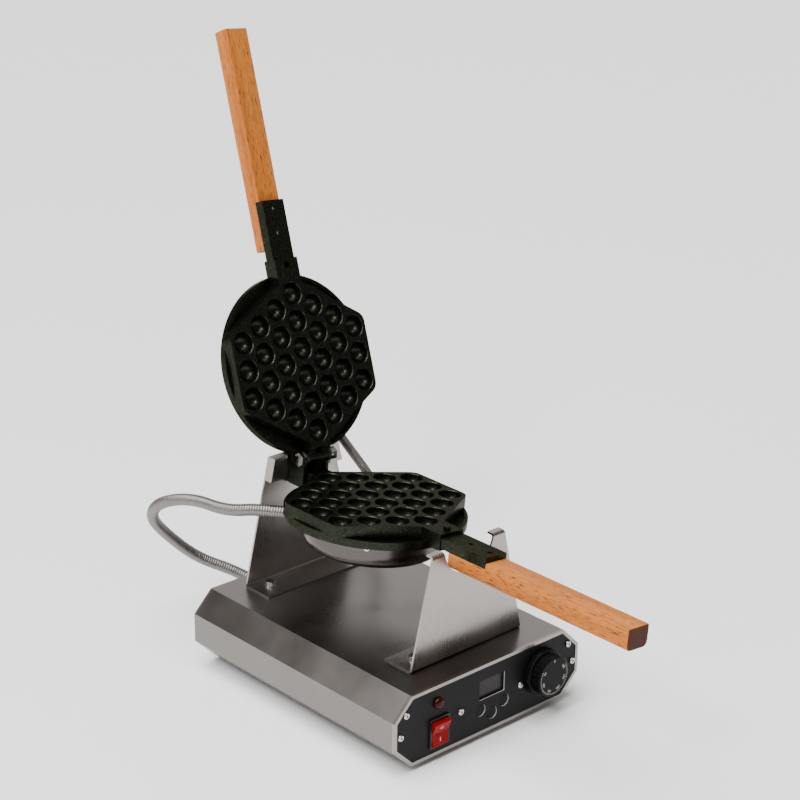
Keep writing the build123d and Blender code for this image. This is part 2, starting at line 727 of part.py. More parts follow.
def hose_gland(hose_r, nut_t, tail_l):
    nut = extrude(Rot(0, 0, 30) * hex_face(2 * GLAND_R * C30), amount=nut_t)
    collar = Pos(0, 0, nut_t) * Cylinder(GLAND_R - GLAND_STEP, GLAND_L - nut_t, align=FROM_BELOW)
    collar = fillet(collar.edges().sort_by(Axis.Z)[-1], GLAND_ROUND)
    tail = Pos(0, 0, -tail_l) * Cylinder(hose_r, tail_l, align=FROM_BELOW)
    body = nut + collar + tail
    return body - Pos(0, 0, -tail_l) * Cylinder(hose_r - GLAND_WALL, tail_l + GLAND_L, align=FROM_BELOW)


def base_hose_places():
    return ((LOWER_HOSE_X, LOWER_HOSE_R), (UPPER_HOSE_X, UPPER_HOSE_R))


def base_hose_glands():
    glands = []
    for x, hose_r in base_hose_places():
        place = Pos(x, REAR_Y, BASE_Z + BASE_GLAND_Z) * Rot(-90, 0, 0)
        glands.append(place * hose_gland(hose_r, GLAND_NUT_T, FACE_T + GLAND_TAIL))
    return glands


def power_inlet():
    x, z = CORD_GLAND_X, BASE_Z + CORD_GLAND_Z
    flats, nut_t = CORD_GLAND_NUT
    cap_r, cap_l = CORD_GLAND_CAP
    tail, end = REAR_Y - FACE_T - GLAND_TAIL, REAR_Y + nut_t + cap_l
    body = prism_y(Pos(x, z) * hex_face(flats), REAR_Y, REAR_Y + nut_t)
    body += cyl_y(x, z, REAR_Y + nut_t, end, cap_r)
    body += cyl_y(x, z, tail, REAR_Y, CORD_GLAND_R)
    return body - cyl_y(x, z, tail, end, CORD_GLAND_BORE)


def gland_nuts():
    nuts = []
    y = REAR_Y - FACE_T
    places = [(x, BASE_GLAND_Z, r) for x, r in base_hose_places()]
    places.append((CORD_GLAND_X, CORD_GLAND_Z, CORD_GLAND_R))
    for x, z, r in places:
        flats = 2 * (r + GLAND_LOCKNUT_WALL)
        nut = prism_y(Pos(x, BASE_Z + z) * hex_face(flats), y - GLAND_LOCKNUT_T, y)
        nuts.append(nut - cyl_y(x, BASE_Z + z, y - GLAND_LOCKNUT_T, y, r))
    return nuts


# Stands and swivel

def stand_half_width(height):
    return STAND_HALF - STAND_SLOPE * height


def stand_profile(height, inset=0.0, foot=0.0):
    low, high = stand_half_width(foot) - inset, stand_half_width(height) - inset
    z0, z1 = TOP_Z + foot, TOP_Z + height
    return outline([(-low, z0), (low, z0), (high, z1), (-high, z1)])


def near(face, places):
    found = []
    for a, b in places:
        found += [v for v in face.vertices() if abs(v.X - a) < 1e-6 and abs(v.Y - b) < 1e-6]
    return found


def folded_sheet(y0, turn, height, shelf, foot):
    t = STAND_T
    z0, z1 = TOP_Z, TOP_Z + height
    y_in = y0 + turn * t
    points = [(y0, z0), (y0, z1)]
    if shelf:
        points += [(y0 + turn * shelf, z1), (y0 + turn * shelf, z1 - t), (y_in, z1 - t)]
    else:
        points += [(y_in, z1)]
    points += [(y_in, z0 + t), (y0 + turn * (foot + t), z0 + t), (y0 + turn * (foot + t), z0)]
    face = outline(points)
    outer = [(y0, z0)] + ([(y0, z1)] if shelf else [])
    inner = [(y_in, z0 + t)] + ([(y_in, z1 - t)] if shelf else [])
    face = fillet(near(face, outer), STAND_BEND + t)
    face = fillet(near(face, inner), STAND_BEND)
    sheet = prism_x(face, -STAND_HALF, STAND_HALF)
    reach = sorted((y0, y0 + turn * (foot + t)))
    sheet = sheet & prism_y(stand_profile(height), reach[0], reach[1])
    for x, y in stand_bolt_places():
        sheet -= cyl_z(x, y, z0, z0 + t, BOLT_R)
    return sheet


def front_stand():
    y0 = FRONT_STAND_Y
    body = folded_sheet(y0, 1, FRONT_STAND_H, SHOULDER_D, STAND_FOOT_D)
    return body - cyl_y(0, AXIS_Z, y0, y0 + SHOULDER_D, NOTCH_R)


def rear_stand():
    y1 = REAR_STAND_Y
    y0 = y1 - STAND_T - HEAD_D
    body = folded_sheet(y1, -1, REAR_STAND_H, 0, STAND_FOOT_D)
    foot_z = REAR_STAND_H - HEAD_H
    head = prism_y(stand_profile(REAR_STAND_H, 0.0, foot_z), y0, y1)
    inner = stand_profile(REAR_STAND_H - STAND_T, STAND_T, foot_z)
    head -= prism_y(inner, y0 + STAND_T, y1)
    half = stand_half_width(REAR_STAND_H) - STAND_T - HEAD_LIP
    head -= block(-half, half, y0, y0 + STAND_T, TOP_Z + foot_z, TOP_Z + REAR_STAND_H - STAND_T)
    head -= block(-HEAD_NOTCH, HEAD_NOTCH, y0, y1 - STAND_T, TOP_Z + foot_z, TOP_Z + REAR_STAND_H)
    body = body + head
    body += cyl_y(0, AXIS_Z, y1, y1 + SLEEVE_L, BUSH_R + SLEEVE_WALL)
    return body - cyl_y(0, AXIS_Z, y1 - STAND_T, y1 + SLEEVE_L, BUSH_R)


def stand_bolts():
    bolts = []
    seat = TOP_Z + STAND_T + WASHER_T
    low_r = BOLT_FLATS / 2 / C30 + BOLT_HEAD_T / 2
    cone = Cone(low_r, BOLT_FLATS / 2, BOLT_HEAD_T, align=FROM_BELOW)
    for x, y in stand_bolt_places():
        head = extrude(Rot(0, 0, BOLT_TURN) * hex_face(BOLT_FLATS), amount=BOLT_HEAD_T) & cone
        bolts.append(Pos(x, y, seat) * head + cyl_z(x, y, TOP_Z - SHEET - BOLT_TAIL, seat, BOLT_R))
    return bolts


def stand_washers():
    washers = []
    z = TOP_Z + STAND_T
    for x, y in stand_bolt_places():
        washers.append(cyl_z(x, y, z, z + WASHER_T, WASHER_R) - cyl_z(x, y, z, z + WASHER_T, BOLT_R))
    return washers


def stand_nuts():
    nuts = []
    z = TOP_Z - SHEET
    for x, y in stand_bolt_places():
        nut = Pos(x, y, z - BOLT_NUT_T) * extrude(hex_face(BOLT_FLATS), amount=BOLT_NUT_T)
        nuts.append(nut - cyl_z(x, y, z - BOLT_NUT_T, z, BOLT_R))
    return nuts


def swivel_bush():
    y0, y1 = REAR_PLATE_Y, REAR_STAND_Y + SLEEVE_L
    bush = cyl_y(0, AXIS_Z, y0, y1, BUSH_R)
    bush += cyl_y(0, AXIS_Z, y0 - BUSH_FLANGE_T, y0, BUSH_R + BUSH_FLANGE_W)
    bush += cyl_y(0, AXIS_Z, y1, y1 + BUSH_FLANGE_T, BUSH_R + BUSH_FLANGE_W)
    return bush - cyl_y(0, AXIS_Z, y0 - BUSH_FLANGE_T, y1 + BUSH_FLANGE_T, SPINDLE_R + SPINDLE_FIT)


# Moulds: built level and closed about the turning line, the lower one below it

def roll_to_rest(solid):
    return solid.rotate(Axis((0, 0, AXIS_Z), (0, 1, 0)), REST_ROLL)


def swing_open(solid):
    return roll_to_rest(solid.rotate(Axis((0, HINGE_Y, HINGE_Z), (1, 0, 0)), -OPEN_ANGLE))


def cells():
    places = []
    for k in range(-3, 4):
        count = 6 - abs(k)
        for j in range(count):
            places.append((k * PITCH * C30, LATTICE_Y + (j - (count - 1) / 2) * PITCH))
    return places


def hexagon():
    slope = math.tan(math.radians(30))
    corner = APEX_Y - SIDE_X * slope
    points = [(0, APEX_Y), (SIDE_X, corner), (SIDE_X, -corner)]
    points += [(-x, -y) for x, y in points]
    return Pos(0, LATTICE_Y) * fillet(outline(points).vertices(), HEX_CORNER_R)


def slab(face, below, thick):
    return Pos(0, 0, AXIS_Z - below - thick) * extrude(face, amount=thick)


def radial(angle, below):
    return Pos(0, LATTICE_Y, AXIS_Z - below) * Rot(0, 0, angle) * Rot(0, 90, 0)


def mould_plate():
    top = PARTING_GAP / 2
    disc = Pos(0, LATTICE_Y) * Circle(DISC_R)
    channel = Pos(0, LATTICE_Y) * Circle(DISC_R - CHANNEL_RIM) - hexagon()
    body = slab(hexagon(), top, HEX_T + DISC_T / 2 - top)
    body += slab(disc, HEX_T, DISC_T) - slab(channel, HEX_T, CHANNEL_D)
    cutter = cyl_z(0, 0, -CELL_DEPTH + CELL_R, 1.0, CELL_R)
    cutter += Pos(0, 0, -CELL_DEPTH + CELL_R) * Sphere(CELL_R)
    body -= [Pos(x, y, AXIS_Z - top) * cutter for x, y in cells()]
    rims = [e for e in body.edges().filter_by(GeomType.CIRCLE)
            if abs(e.radius - CELL_R) < 1e-3 and abs(e.center().Z - AXIS_Z + top) < 1e-3]
    body = chamfer(rims, CELL_EDGE)
    return body + cover_lugs()


def cover_lugs():
    lugs = []
    face, z = COVER_R - COVER_T - COVER_LUG_GAP, AXIS_Z - MOULD_T
    for angle in COVER_SCREW_ANGLES:
        lug = block(face - COVER_LUG_T, face, -COVER_LUG_R, COVER_LUG_R, z - COVER_LUG_H, z)
        lug = Pos(0, LATTICE_Y, 0) * Rot(0, 0, angle) * lug
        lugs.append(lug - cover_screw_place(angle) * Cylinder(SCREW_R, 2 * COVER_LUG_T + SCREW_L))
    return lugs


def cover_screw_place(angle):
    return radial(angle, MOULD_T + COVER_SCREW_DOWN) * Pos(0, 0, COVER_R)


def neck(x, y0, y1, below, thick):
    return block(-x, x, y0, y1, AXIS_Z - below - thick, AXIS_Z - below)


def clear_of_end_cells(body):
    reach = CELL_R + CELL_EDGE + NECK_CELL_GAP
    for side in (-1, 1):
        y = LATTICE_Y + side * 2.5 * PITCH
        body -= cyl_z(0, y, AXIS_Z - NECK_T, AXIS_Z + NECK_T, reach)
    return body


def front_neck():
    inside = NECK_FRONT_Y + HEX_CORNER_R
    body = neck(NECK_W / 2, BLOCK_END_Y, inside, PARTING_GAP / 2, NECK_T - PARTING_GAP / 2)
    body = clear_of_end_cells(body)
    body += neck(TONGUE_W / 2, TONGUE_END_Y, BLOCK_END_Y, TONGUE_DROP, TONGUE_T)
    for along in TONGUE_HOLES:
        y = BLOCK_END_Y - along
        body -= cyl_z(0, y, AXIS_Z - TONGUE_DROP - TONGUE_T, AXIS_Z - TONGUE_DROP, HANDLE_SCREW_R)
    return body


def hinge_pin_hole(x):
    return cyl_x(HINGE_Y, HINGE_Z, -x, x, HINGE_BOLT_R + HINGE_FIT)


def lower_mould():
    top = PARTING_GAP / 2
    body = mould_plate() + front_neck()
    half = FORK_W / 2
    rear = LATTICE_Y + APEX_Y - HEX_CORNER_R
    body += clear_of_end_cells(neck(half, rear, WEB_FRONT_Y, top, NECK_T - top))
    lug_half = FORK_SLOT / 2 - SIDE_GAP
    lug = prism_x(Pos(HINGE_Y, HINGE_Z) * Circle(KNUCKLE_R), -lug_half, lug_half)
    lug += block(-lug_half, lug_half, HINGE_Y - KNUCKLE_R, HINGE_Y + KNUCKLE_R, AXIS_Z - NECK_T / 2, HINGE_Z)
    body += lug
    body -= hinge_pin_hole(FORK_W)
    y = BLOCK_END_Y + PEG_BACK
    body += block(-PEG_W / 2, PEG_W / 2, y - PEG_W / 2, y + PEG_W / 2, AXIS_Z - top, AXIS_Z - top + PEG_H)
    for x in (-YOKE_SCREW_X, YOKE_SCREW_X):
        body -= cyl_y(x, AXIS_Z - NECK_T / 2, WEB_FRONT_Y - YOKE_SCREW_HOLE_D, WEB_FRONT_Y, YOKE_SCREW_R)
    return body


def mirrored(solid):
    return mirror(solid, about=Plane.XY.offset(AXIS_Z))


def open_frame_block(x0, x1, y0, y1, z0, z1):
    piece = block(x0, x1, HINGE_Y + y0, HINGE_Y + y1, HINGE_Z + z0, HINGE_Z + z1)
    return piece.rotate(Axis((0, HINGE_Y, HINGE_Z), (1, 0, 0)), OPEN_ANGLE)


def yoke_half_width():
    return FORK_W / 2 + SIDE_GAP + YOKE_CHEEK_T


def upper_mould_closed():
    top = PARTING_GAP / 2
    body = mirrored(mould_plate() + front_neck())
    half = FORK_W / 2
    reach = yoke_half_width() + HINGE_NUT_T + HINGE_NUT_ROOM
    body -= cyl_x(HINGE_Y, HINGE_Z, -reach, reach, KNUCKLE_R + KNUCKLE_CLEAR)
    z0, z1 = HINGE_Z - KNUCKLE_R, AXIS_Z + NECK_T
    rear = LATTICE_Y + APEX_Y - HEX_CORNER_R
    fork = clear_of_end_cells(block(-half, half, rear, HINGE_Y, AXIS_Z + top, z1))
    fork += cyl_x(HINGE_Y, HINGE_Z, -half, half, KNUCKLE_R)
    fork -= block(-half, half, HINGE_Y - KNUCKLE_R, HINGE_Y + KNUCKLE_R, AXIS_Z, z0)
    heel = WEB_FRONT_Y - HINGE_Y - STOP_GAP
    fork += open_frame_block(-half, half, 0.0, heel, 0.0, STOP_H)
    slot = FORK_SLOT / 2
    fork -= block(-slot, slot, HINGE_Y - KNUCKLE_R - 1.0, HINGE_Y + KNUCKLE_R, AXIS_Z, z1 + 2 * KNUCKLE_R)
    body += fork
    body -= hinge_pin_hole(FORK_W)
    y = BLOCK_END_Y + PEG_BACK
    w = PEG_W / 2 + PEG_GAP
    return body - block(-w, w, y - w, y + w, AXIS_Z, AXIS_Z + PEG_H + PEG_GAP + top)


def swivel_yoke():
    inner = FORK_W / 2 + SIDE_GAP
    outer = yoke_half_width()
    low = AXIS_Z - NECK_T
    body = block(-outer, outer, WEB_FRONT_Y, WEB_BACK_Y, low, HINGE_Z + STOP_H + STOP_GAP)
    for side in (-1, 1):
        x0, x1 = sorted((side * inner, side * outer))
        cheek = block(x0, x1, HINGE_Y - CHEEK_FRONT, WEB_FRONT_Y, low, HINGE_Z + CHEEK_FRONT)
        cheek += cyl_x(HINGE_Y, HINGE_Z, x0, x1, KNUCKLE_R)
        body += cheek
    body -= hinge_pin_hole(outer)
    body += cyl_y(0, AXIS_Z, WEB_BACK_Y, spindle_end_y(), SPINDLE_R)
    z = AXIS_Z - NECK_T / 2
    for x in (-YOKE_SCREW_X, YOKE_SCREW_X):
        body -= cyl_y(x, z, WEB_FRONT_Y, WEB_BACK_Y, YOKE_SCREW_R)
        body -= cyl_y(x, z, WEB_BACK_Y - YOKE_HEAD_SUNK, WEB_BACK_Y, YOKE_HEAD_R + YOKE_HEAD_GAP)
    return body


def spindle_nut_y():
    return REAR_STAND_Y + SLEEVE_L + BUSH_FLANGE_T + NUT_PLAY


def spindle_end_y():
    return spindle_nut_y() + NUT_T + SPINDLE_TAIL


def spindle_nut():
    y = spindle_nut_y()
    nut = prism_y(Pos(0, AXIS_Z) * hex_face(NUT_FLATS), y, y + NUT_T)
    return nut - cyl_y(0, AXIS_Z, y, y + NUT_T, SPINDLE_R)


def yoke_screws():
    screws = []
    z = AXIS_Z - NECK_T / 2
    seat, tip = WEB_BACK_Y - YOKE_HEAD_SUNK, WEB_FRONT_Y - YOKE_SCREW_HOLE_D + YOKE_SCREW_SHORT
    for x in (-YOKE_SCREW_X, YOKE_SCREW_X):
        head = cyl_y(x, z, seat, WEB_BACK_Y - YOKE_HEAD_LOW, YOKE_HEAD_R)
        screws.append(head + cyl_y(x, z, tip, seat, YOKE_SCREW_R))
    return screws


def hinge_bolt():
    outer = yoke_half_width()
    end = outer + HINGE_WASHER_T + HINGE_NUT_T + HINGE_BOLT_TAIL
    shank = cyl_x(HINGE_Y, HINGE_Z, -outer, end, HINGE_BOLT_R)
    head = Rot(0, 90, 0) * extrude(hex_face(HINGE_FLATS), amount=HINGE_HEAD_T)
    return shank + Pos(-outer - HINGE_HEAD_T, HINGE_Y, HINGE_Z) * head


def hinge_nut():
    outer = yoke_half_width()
    seat = outer + HINGE_WASHER_T
    washer = cyl_x(HINGE_Y, HINGE_Z, outer, seat, KNUCKLE_R)
    nut = Pos(seat, HINGE_Y, HINGE_Z) * Rot(0, 90, 0) * extrude(hex_face(HINGE_FLATS), amount=HINGE_NUT_T)
    return washer + nut - cyl_x(HINGE_Y, HINGE_Z, outer, seat + HINGE_NUT_T, HINGE_BOLT_R)


def heating_element():
    start = 270.0 + HEATER_GAP_ANGLE / 2
    z = AXIS_Z - MOULD_T - HEATER_TUBE_R
    path = Pos(0, LATTICE_Y, z) * CenterArc((0, 0), HEATER_R, start, 360.0 - HEATER_GAP_ANGLE)
    ring = sweep(Plane(path @ 0, z_dir=path % 0) * Circle(HEATER_TUBE_R), path=path)
    for end in (path @ 0, path @ 1):
        low = z - HEATER_END_L
        ring += cyl_z(end.X, end.Y, low, z, HEATER_TUBE_R)
        ring += cyl_z(end.X, end.Y, low - HEATER_PIN[1], low, HEATER_PIN[0])
    return ring


def insulation_pad():
    z1 = AXIS_Z - MOULD_T - 2 * HEATER_TUBE_R - PAD_GAP
    z0 = AXIS_Z - MOULD_T - COVER_DEPTH + COVER_T + PAD_GAP
    pad = cyl_z(0, LATTICE_Y, z0, z1, COVER_R - COVER_BEND)
    for a in (HEATER_GAP_ANGLE / 2, -HEATER_GAP_ANGLE / 2):
        x = HEATER_R * math.sin(math.radians(a))
        y = LATTICE_Y - HEATER_R * math.cos(math.radians(a))
        pad -= cyl_z(x, y, z0, z1, HEATER_TUBE_R + PAD_GAP)
    return pad


def bowl(radius, depth, bend):
    face = make_face([Line((0, 0), (radius, 0)), Line((radius, 0), (radius, -depth + bend)),
                      RadiusArc((radius, -depth + bend), (radius - bend, -depth), bend),
                      Line((radius - bend, -depth), (0, -depth)), Line((0, -depth), (0, 0))])
    return revolve(Plane.XZ * face, Axis.Z)


def cover(gland_angle, hose_r):
    z = AXIS_Z - MOULD_T
    inside = bowl(COVER_R - COVER_T, COVER_DEPTH - COVER_T, COVER_BEND - COVER_T)
    body = Pos(0, LATTICE_Y, z) * (bowl(COVER_R, COVER_DEPTH, COVER_BEND) - inside)
    for angle in COVER_SCREW_ANGLES:
        body -= cover_screw_place(angle) * Cylinder(SCREW_R, SCREW_L)
    return body - gland_place(gland_angle) * Cylinder(hose_r, SCREW_L)


def gland_place(angle):
    return radial(angle, MOULD_T + GLAND_DOWN) * Pos(0, 0, COVER_R)


def cover_screws():
    screws = []
    head = Cylinder(SCREW_HEAD_R, SCREW_HEAD_H, align=FROM_BELOW)
    head = fillet(head.edges().sort_by(Axis.Z)[-1], SCREW_HEAD_ROUND)
    socket = extrude(hex_face(SCREW_SOCKET), amount=SCREW_SOCKET_D)
    head -= Pos(0, 0, SCREW_HEAD_H - SCREW_SOCKET_D) * socket
    shank = Pos(0, 0, -SCREW_L) * Cylinder(SCREW_R, SCREW_L, align=FROM_BELOW)
    for angle in COVER_SCREW_ANGLES:
        screws.append(cover_screw_place(angle) * (head + shank))
    return screws


def cover_gland(angle, hose_r):
    return gland_place(angle) * hose_gland(hose_r, GLAND_NUT_T, 2 * COVER_T)


# Ribbed hoses

def gland_point(angle, reach, side):
    turn = math.radians(angle)
    z = AXIS_Z + side * (MOULD_T + GLAND_DOWN)
    point = Vertex(reach * math.cos(turn), LATTICE_Y + reach * math.sin(turn), z)
    placed = roll_to_rest(point) if side < 0 else swing_open(point)
    return placed.center()


def cover_end(angle, side):
    return [gland_point(angle, GLAND_OUT, side), gland_point(angle, GLAND_OUT + HOSE_STRAIGHT, side)]


def base_end(x):
    y, z = REAR_Y + GLAND_L, BASE_Z + BASE_GLAND_Z
    return [Vector(x, y + HOSE_INLET, z), Vector(x, y, z)]


def route_radii(points):
    radii = []
    for before, corner, after in zip(points, points[1:], points[2:]):
        arriving, leaving = corner - before, after - corner
        turn = math.radians(arriving.get_angle(leaving))
        radii.append(HOSE_CORNER * min(arriving.length, leaving.length) / math.tan(turn / 2))
    return radii


def least_self_gap(places, radius, step):
    apart = int(math.pi * 2 * radius / step) + 1
    gaps = [(b - a).length for i, a in enumerate(places) for b in places[i + apart:]]
    return min(gaps) - 2 * radius


def ribbed_hose(name, points, radius):
    points = [Vector(point) for point in points]
    radii = route_radii(points)
    path = FilletPolyline(*points, radius=radii)
    ribs = round(path.length / RIB_PITCH)
    pitch = path.length / ribs
    sections, places = [], []
    across = Vector(0, 0, 1)
    for k in range(ribs):
        for share, r in ((0.0, radius - RIB_DEPTH), (0.2, radius), (0.7, radius), (0.9, radius - RIB_DEPTH)):
            along = (k + share) * pitch
            here = path.position_at(along, position_mode=PositionMode.LENGTH)
            ahead = path.tangent_at(along, position_mode=PositionMode.LENGTH)
            across = (across - ahead * across.dot(ahead)).normalized()
            sections.append(Plane(here, x_dir=across, z_dir=ahead) * Circle(r))
            places.append(here)
    end, ahead = path @ 1, path % 1
    across = (across - ahead * across.dot(ahead)).normalized()
    sections.append(Plane(end, x_dir=across, z_dir=ahead) * Circle(radius - RIB_DEPTH))
    bore = sweep(Plane(path @ 0, z_dir=path % 0) * Circle(radius - HOSE_WALL), path=path)
    gap = least_self_gap(places[::4], radius, pitch)
    print(name, "length", round(path.length, 1), "ribs", ribs, "least gap to itself", round(gap, 1))
    print(name, "radii", [round(r, 1) for r in radii])
    return loft(sections, ruled=True) - bore


def lower_hose():
    points = cover_end(LOWER_GLAND_ANGLE, -1) + list(LOWER_ROUTE) + base_end(LOWER_HOSE_X)
    return ribbed_hose("lower_hose", points, LOWER_HOSE_R)


def upper_hose_lid_end():
    points = cover_end(UPPER_GLAND_ANGLE, 1) + list(UPPER_ROUTE_LID) + [HOSE_MEETING]
    return ribbed_hose("upper_hose_lid_end", points, UPPER_HOSE_R)


def upper_hose_base_end():
    points = [HOSE_MEETING] + list(UPPER_ROUTE_BASE) + base_end(UPPER_HOSE_X)
    return ribbed_hose("upper_hose_base_end", points, UPPER_HOSE_R)


# Wooden handles

def wooden_handle():
    y1 = BLOCK_END_Y - HANDLE_GAP
    y0 = y1 - HANDLE_L
    top, low = AXIS_Z - HANDLE_DROP, AXIS_Z - HANDLE_DROP - HANDLE_H
    half = TONGUE_W / 2
    grip = block(-half, half, y0, y1, low, top)
    grip = fillet(grip.edges().filter_by(Axis.Y).group_by(Axis.Z)[0], HANDLE_ROUND)
    grip = fillet(grip.edges().filter_by(Axis.Y).group_by(Axis.Z)[-1], HANDLE_TOP_ROUND)
    grip = fillet(grip.edges().group_by(Axis.Y)[0], HANDLE_END_ROUND)
    grip = fillet(grip.edges().group_by(Axis.Y)[-1], HANDLE_END_ROUND)
    seat = AXIS_Z - TONGUE_DROP - TONGUE_T
    grip -= block(-half, half, TONGUE_END_Y - WOOD_GAP, y1, seat, top)
    for along in TONGUE_HOLES:
        y = BLOCK_END_Y - along
        grip -= cyl_z(0, y, low, seat, HANDLE_SCREW_R)
        grip -= cyl_z(0, y, low, low + HANDLE_HEAD_SUNK, HANDLE_HEAD_R + HANDLE_HEAD_GAP)
    return grip


def handle_screws():
    screws = []
    seat = AXIS_Z - HANDLE_DROP - HANDLE_H + HANDLE_HEAD_SUNK
    low, tip = seat - HANDLE_HEAD_T, AXIS_Z - TONGUE_DROP - HANDLE_SCREW_SHORT
    flats, deep = HANDLE_SOCKET
    for along in TONGUE_HOLES:
        y = BLOCK_END_Y - along
        head = cyl_z(0, y, low, seat, HANDLE_HEAD_R)
        head -= Pos(0, y, low) * extrude(hex_face(flats), amount=deep)
        screws.append(head + cyl_z(0, y, seat, tip, HANDLE_SCREW_R))
    return screws


# Files

def save(name, solids):
    items = solids if isinstance(solids, (list, tuple)) else [solids]
    PIECES[name] = [solid for item in items for solid in item.solids()]


def write_files():
    stiff = [solids for name, solids in PIECES.items() if name not in HOSES]
    boxes = [solid.bounding_box() for solids in stiff for solid in solids]
    x = (min(box.min.X for box in boxes) + max(box.max.X for box in boxes)) / 2
    y = (min(box.min.Y for box in boxes) + max(box.max.Y for box in boxes)) / 2
    print("origin is at", round(x, 3), round(y, 3), "from the middle of the base")
    for name, solids in PIECES.items():
        placed = [Pos(-x, -y, 0) * solid for solid in solids]
        whole = placed[0] if len(placed) == 1 else Compound(children=placed)
        export_step(whole, f"parts/{name}.step")


def lower(name, solids):
    items = solids if isinstance(solids, (list, tuple)) else [solids]
    save(name, [roll_to_rest(item) for item in items])


def upper(name, solids, closed=False):
    items = solids if isinstance(solids, (list, tuple)) else [solids]
    items = items if closed else [mirrored(item) for item in items]
    save(name, [swing_open(item) for item in items])


def main():
    save("base_shell", base_shell())
    save("bottom_plate", bottom_plate())
    save("front_frame", front_frame())
    save("control_panel", control_panel())
    save("rear_panel", rear_panel())
    save("rubber_feet", rubber_feet())
    save("foot_screws", foot_screws())
    save("bottom_plate_screws", bottom_screws())
    save("panel_screws", panel_screws())
    save("rear_panel_screws", rear_screws())
    save("switch_housing", switch_housing())
    save("power_rocker", rocker())
    save("heat_lamp", lamp_lens())
    save("heat_lamp_nut", lamp_nut())
    save("timer_display", timer_display())
    save("timer_glass", timer_glass())
    save("timer_board", timer_board())
    save("timer_posts", timer_posts())
    save("timer_button_left", timer_button(0))
    save("timer_button_middle", timer_button(1))
    save("timer_button_right", timer_button(2))
    save("dial_ring", dial_ring())
    save("temperature_knob", temperature_knob())
    save("thermostat_body", thermostat_body())
    save("terminal_block", terminal_block())
    save("contactor", contactor())
    save("base_hose_glands", base_hose_glands())
    save("power_inlet_gland", power_inlet())
    save("gland_nuts", gland_nuts())
    save("front_stand", front_stand())
    save("rear_stand", rear_stand())
    save("stand_bolts", stand_bolts())
    save("stand_washers", stand_washers())
    save("stand_nuts", stand_nuts())
    save("swivel_bush", swivel_bush())
    lower("swivel_yoke", swivel_yoke())
    lower("spindle_nut", spindle_nut())
    lower("yoke_screws", yoke_screws())
    lower("hinge_bolt", hinge_bolt())
    lower("hinge_nut", hinge_nut())
    lower("lower_mould", lower_mould())
    lower("lower_heater", heating_element())
    lower("lower_insulation", insulation_pad())
    lower("lower_cover", cover(LOWER_GLAND_ANGLE, LOWER_HOSE_R))
    lower("lower_cover_screws", cover_screws())
    lower("lower_hose_gland", cover_gland(LOWER_GLAND_ANGLE, LOWER_HOSE_R))
    lower("lower_handle", wooden_handle())
    lower("lower_handle_screws", handle_screws())
    upper("upper_mould", upper_mould_closed(), closed=True)
    upper("upper_heater", heating_element())
    upper("upper_insulation", insulation_pad())
    upper("upper_cover", cover(UPPER_GLAND_ANGLE, UPPER_HOSE_R))
    upper("upper_cover_screws", cover_screws())
    upper("upper_hose_gland", cover_gland(UPPER_GLAND_ANGLE, UPPER_HOSE_R))
    upper("upper_handle", wooden_handle())
    upper("upper_handle_screws", handle_screws())
    save("lower_hose", lower_hose())
    save("upper_hose_lid_end", upper_hose_lid_end())
    save("upper_hose_base_end", upper_hose_base_end())
    write_files()


main()
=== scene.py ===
import math

import bpy
import numpy as np
from mathutils import Matrix, Vector


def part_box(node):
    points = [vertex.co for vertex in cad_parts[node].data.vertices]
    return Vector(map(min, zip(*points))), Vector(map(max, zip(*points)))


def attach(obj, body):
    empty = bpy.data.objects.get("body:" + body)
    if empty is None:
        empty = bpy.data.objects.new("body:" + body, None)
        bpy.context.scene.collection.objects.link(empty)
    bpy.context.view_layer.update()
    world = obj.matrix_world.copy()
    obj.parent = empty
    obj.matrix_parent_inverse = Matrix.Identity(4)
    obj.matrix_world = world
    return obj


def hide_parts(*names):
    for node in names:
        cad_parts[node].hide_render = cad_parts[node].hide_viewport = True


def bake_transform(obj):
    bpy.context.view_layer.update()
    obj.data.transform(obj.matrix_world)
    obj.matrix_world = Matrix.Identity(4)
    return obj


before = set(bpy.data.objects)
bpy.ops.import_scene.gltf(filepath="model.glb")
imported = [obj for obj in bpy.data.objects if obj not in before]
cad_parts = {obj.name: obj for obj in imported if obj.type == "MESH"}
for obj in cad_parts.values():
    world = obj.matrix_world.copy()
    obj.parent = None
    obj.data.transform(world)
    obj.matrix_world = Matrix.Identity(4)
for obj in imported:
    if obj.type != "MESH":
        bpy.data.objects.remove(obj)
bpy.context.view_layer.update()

# Metres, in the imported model's frame: the control panel faces -Y and the table is z = 0.
# The points of the hoses are in millimetres, as in the CAD source, and in_frame brings them over.
SHIFT = Vector((0.0, 0.018722, 0.0))

# Camera, worked out from the photograph's own lines
CAMERA_AT = Vector((-1.3128, -1.4152, 1.0556))
LOOK_AT = Vector((0.0, -0.00075, 0.31318))
CAMERA_ROLL = math.radians(0.744)
CAMERA_LENS = 96.14
CAMERA_SENSOR = 36.0
CAMERA_CLIP = (0.05, 100.0)

# Floor, just under the feet
FLOOR_HALF = 30.0
FLOOR_Z = -0.0003

# A wide sun overhead keeps the ground even. Each area light has a name, its place, the point
# that it faces, its size and its power.
SUN_TOWARDS = (-0.25, 0.10, 1.0)
SUN_STRENGTH = 4.8
SUN_ANGLE = math.radians(50.0)
AREA_LIGHTS = (
    ("key_softbox", (-1.7, -0.5, 1.9), (0.0, 0.0, 0.3), (0.5, 0.5), 34.0),
    ("left_strip", (-2.2, 0.3, 0.9), (0.0, 0.0, 0.3), (0.3, 1.3), 12.0),
)

# The room that the metal mirrors: its tone from the ground up, and one bright patch behind on the right
ROOM_TONES = ((0.0, 0.12), (0.10, 0.14), (0.32, 0.34), (0.60, 0.26), (1.0, 0.45))
PATCH_TOWARDS = (0.80, 0.55, 0.22)
PATCH_START, PATCH_FULL = 0.72, 0.97

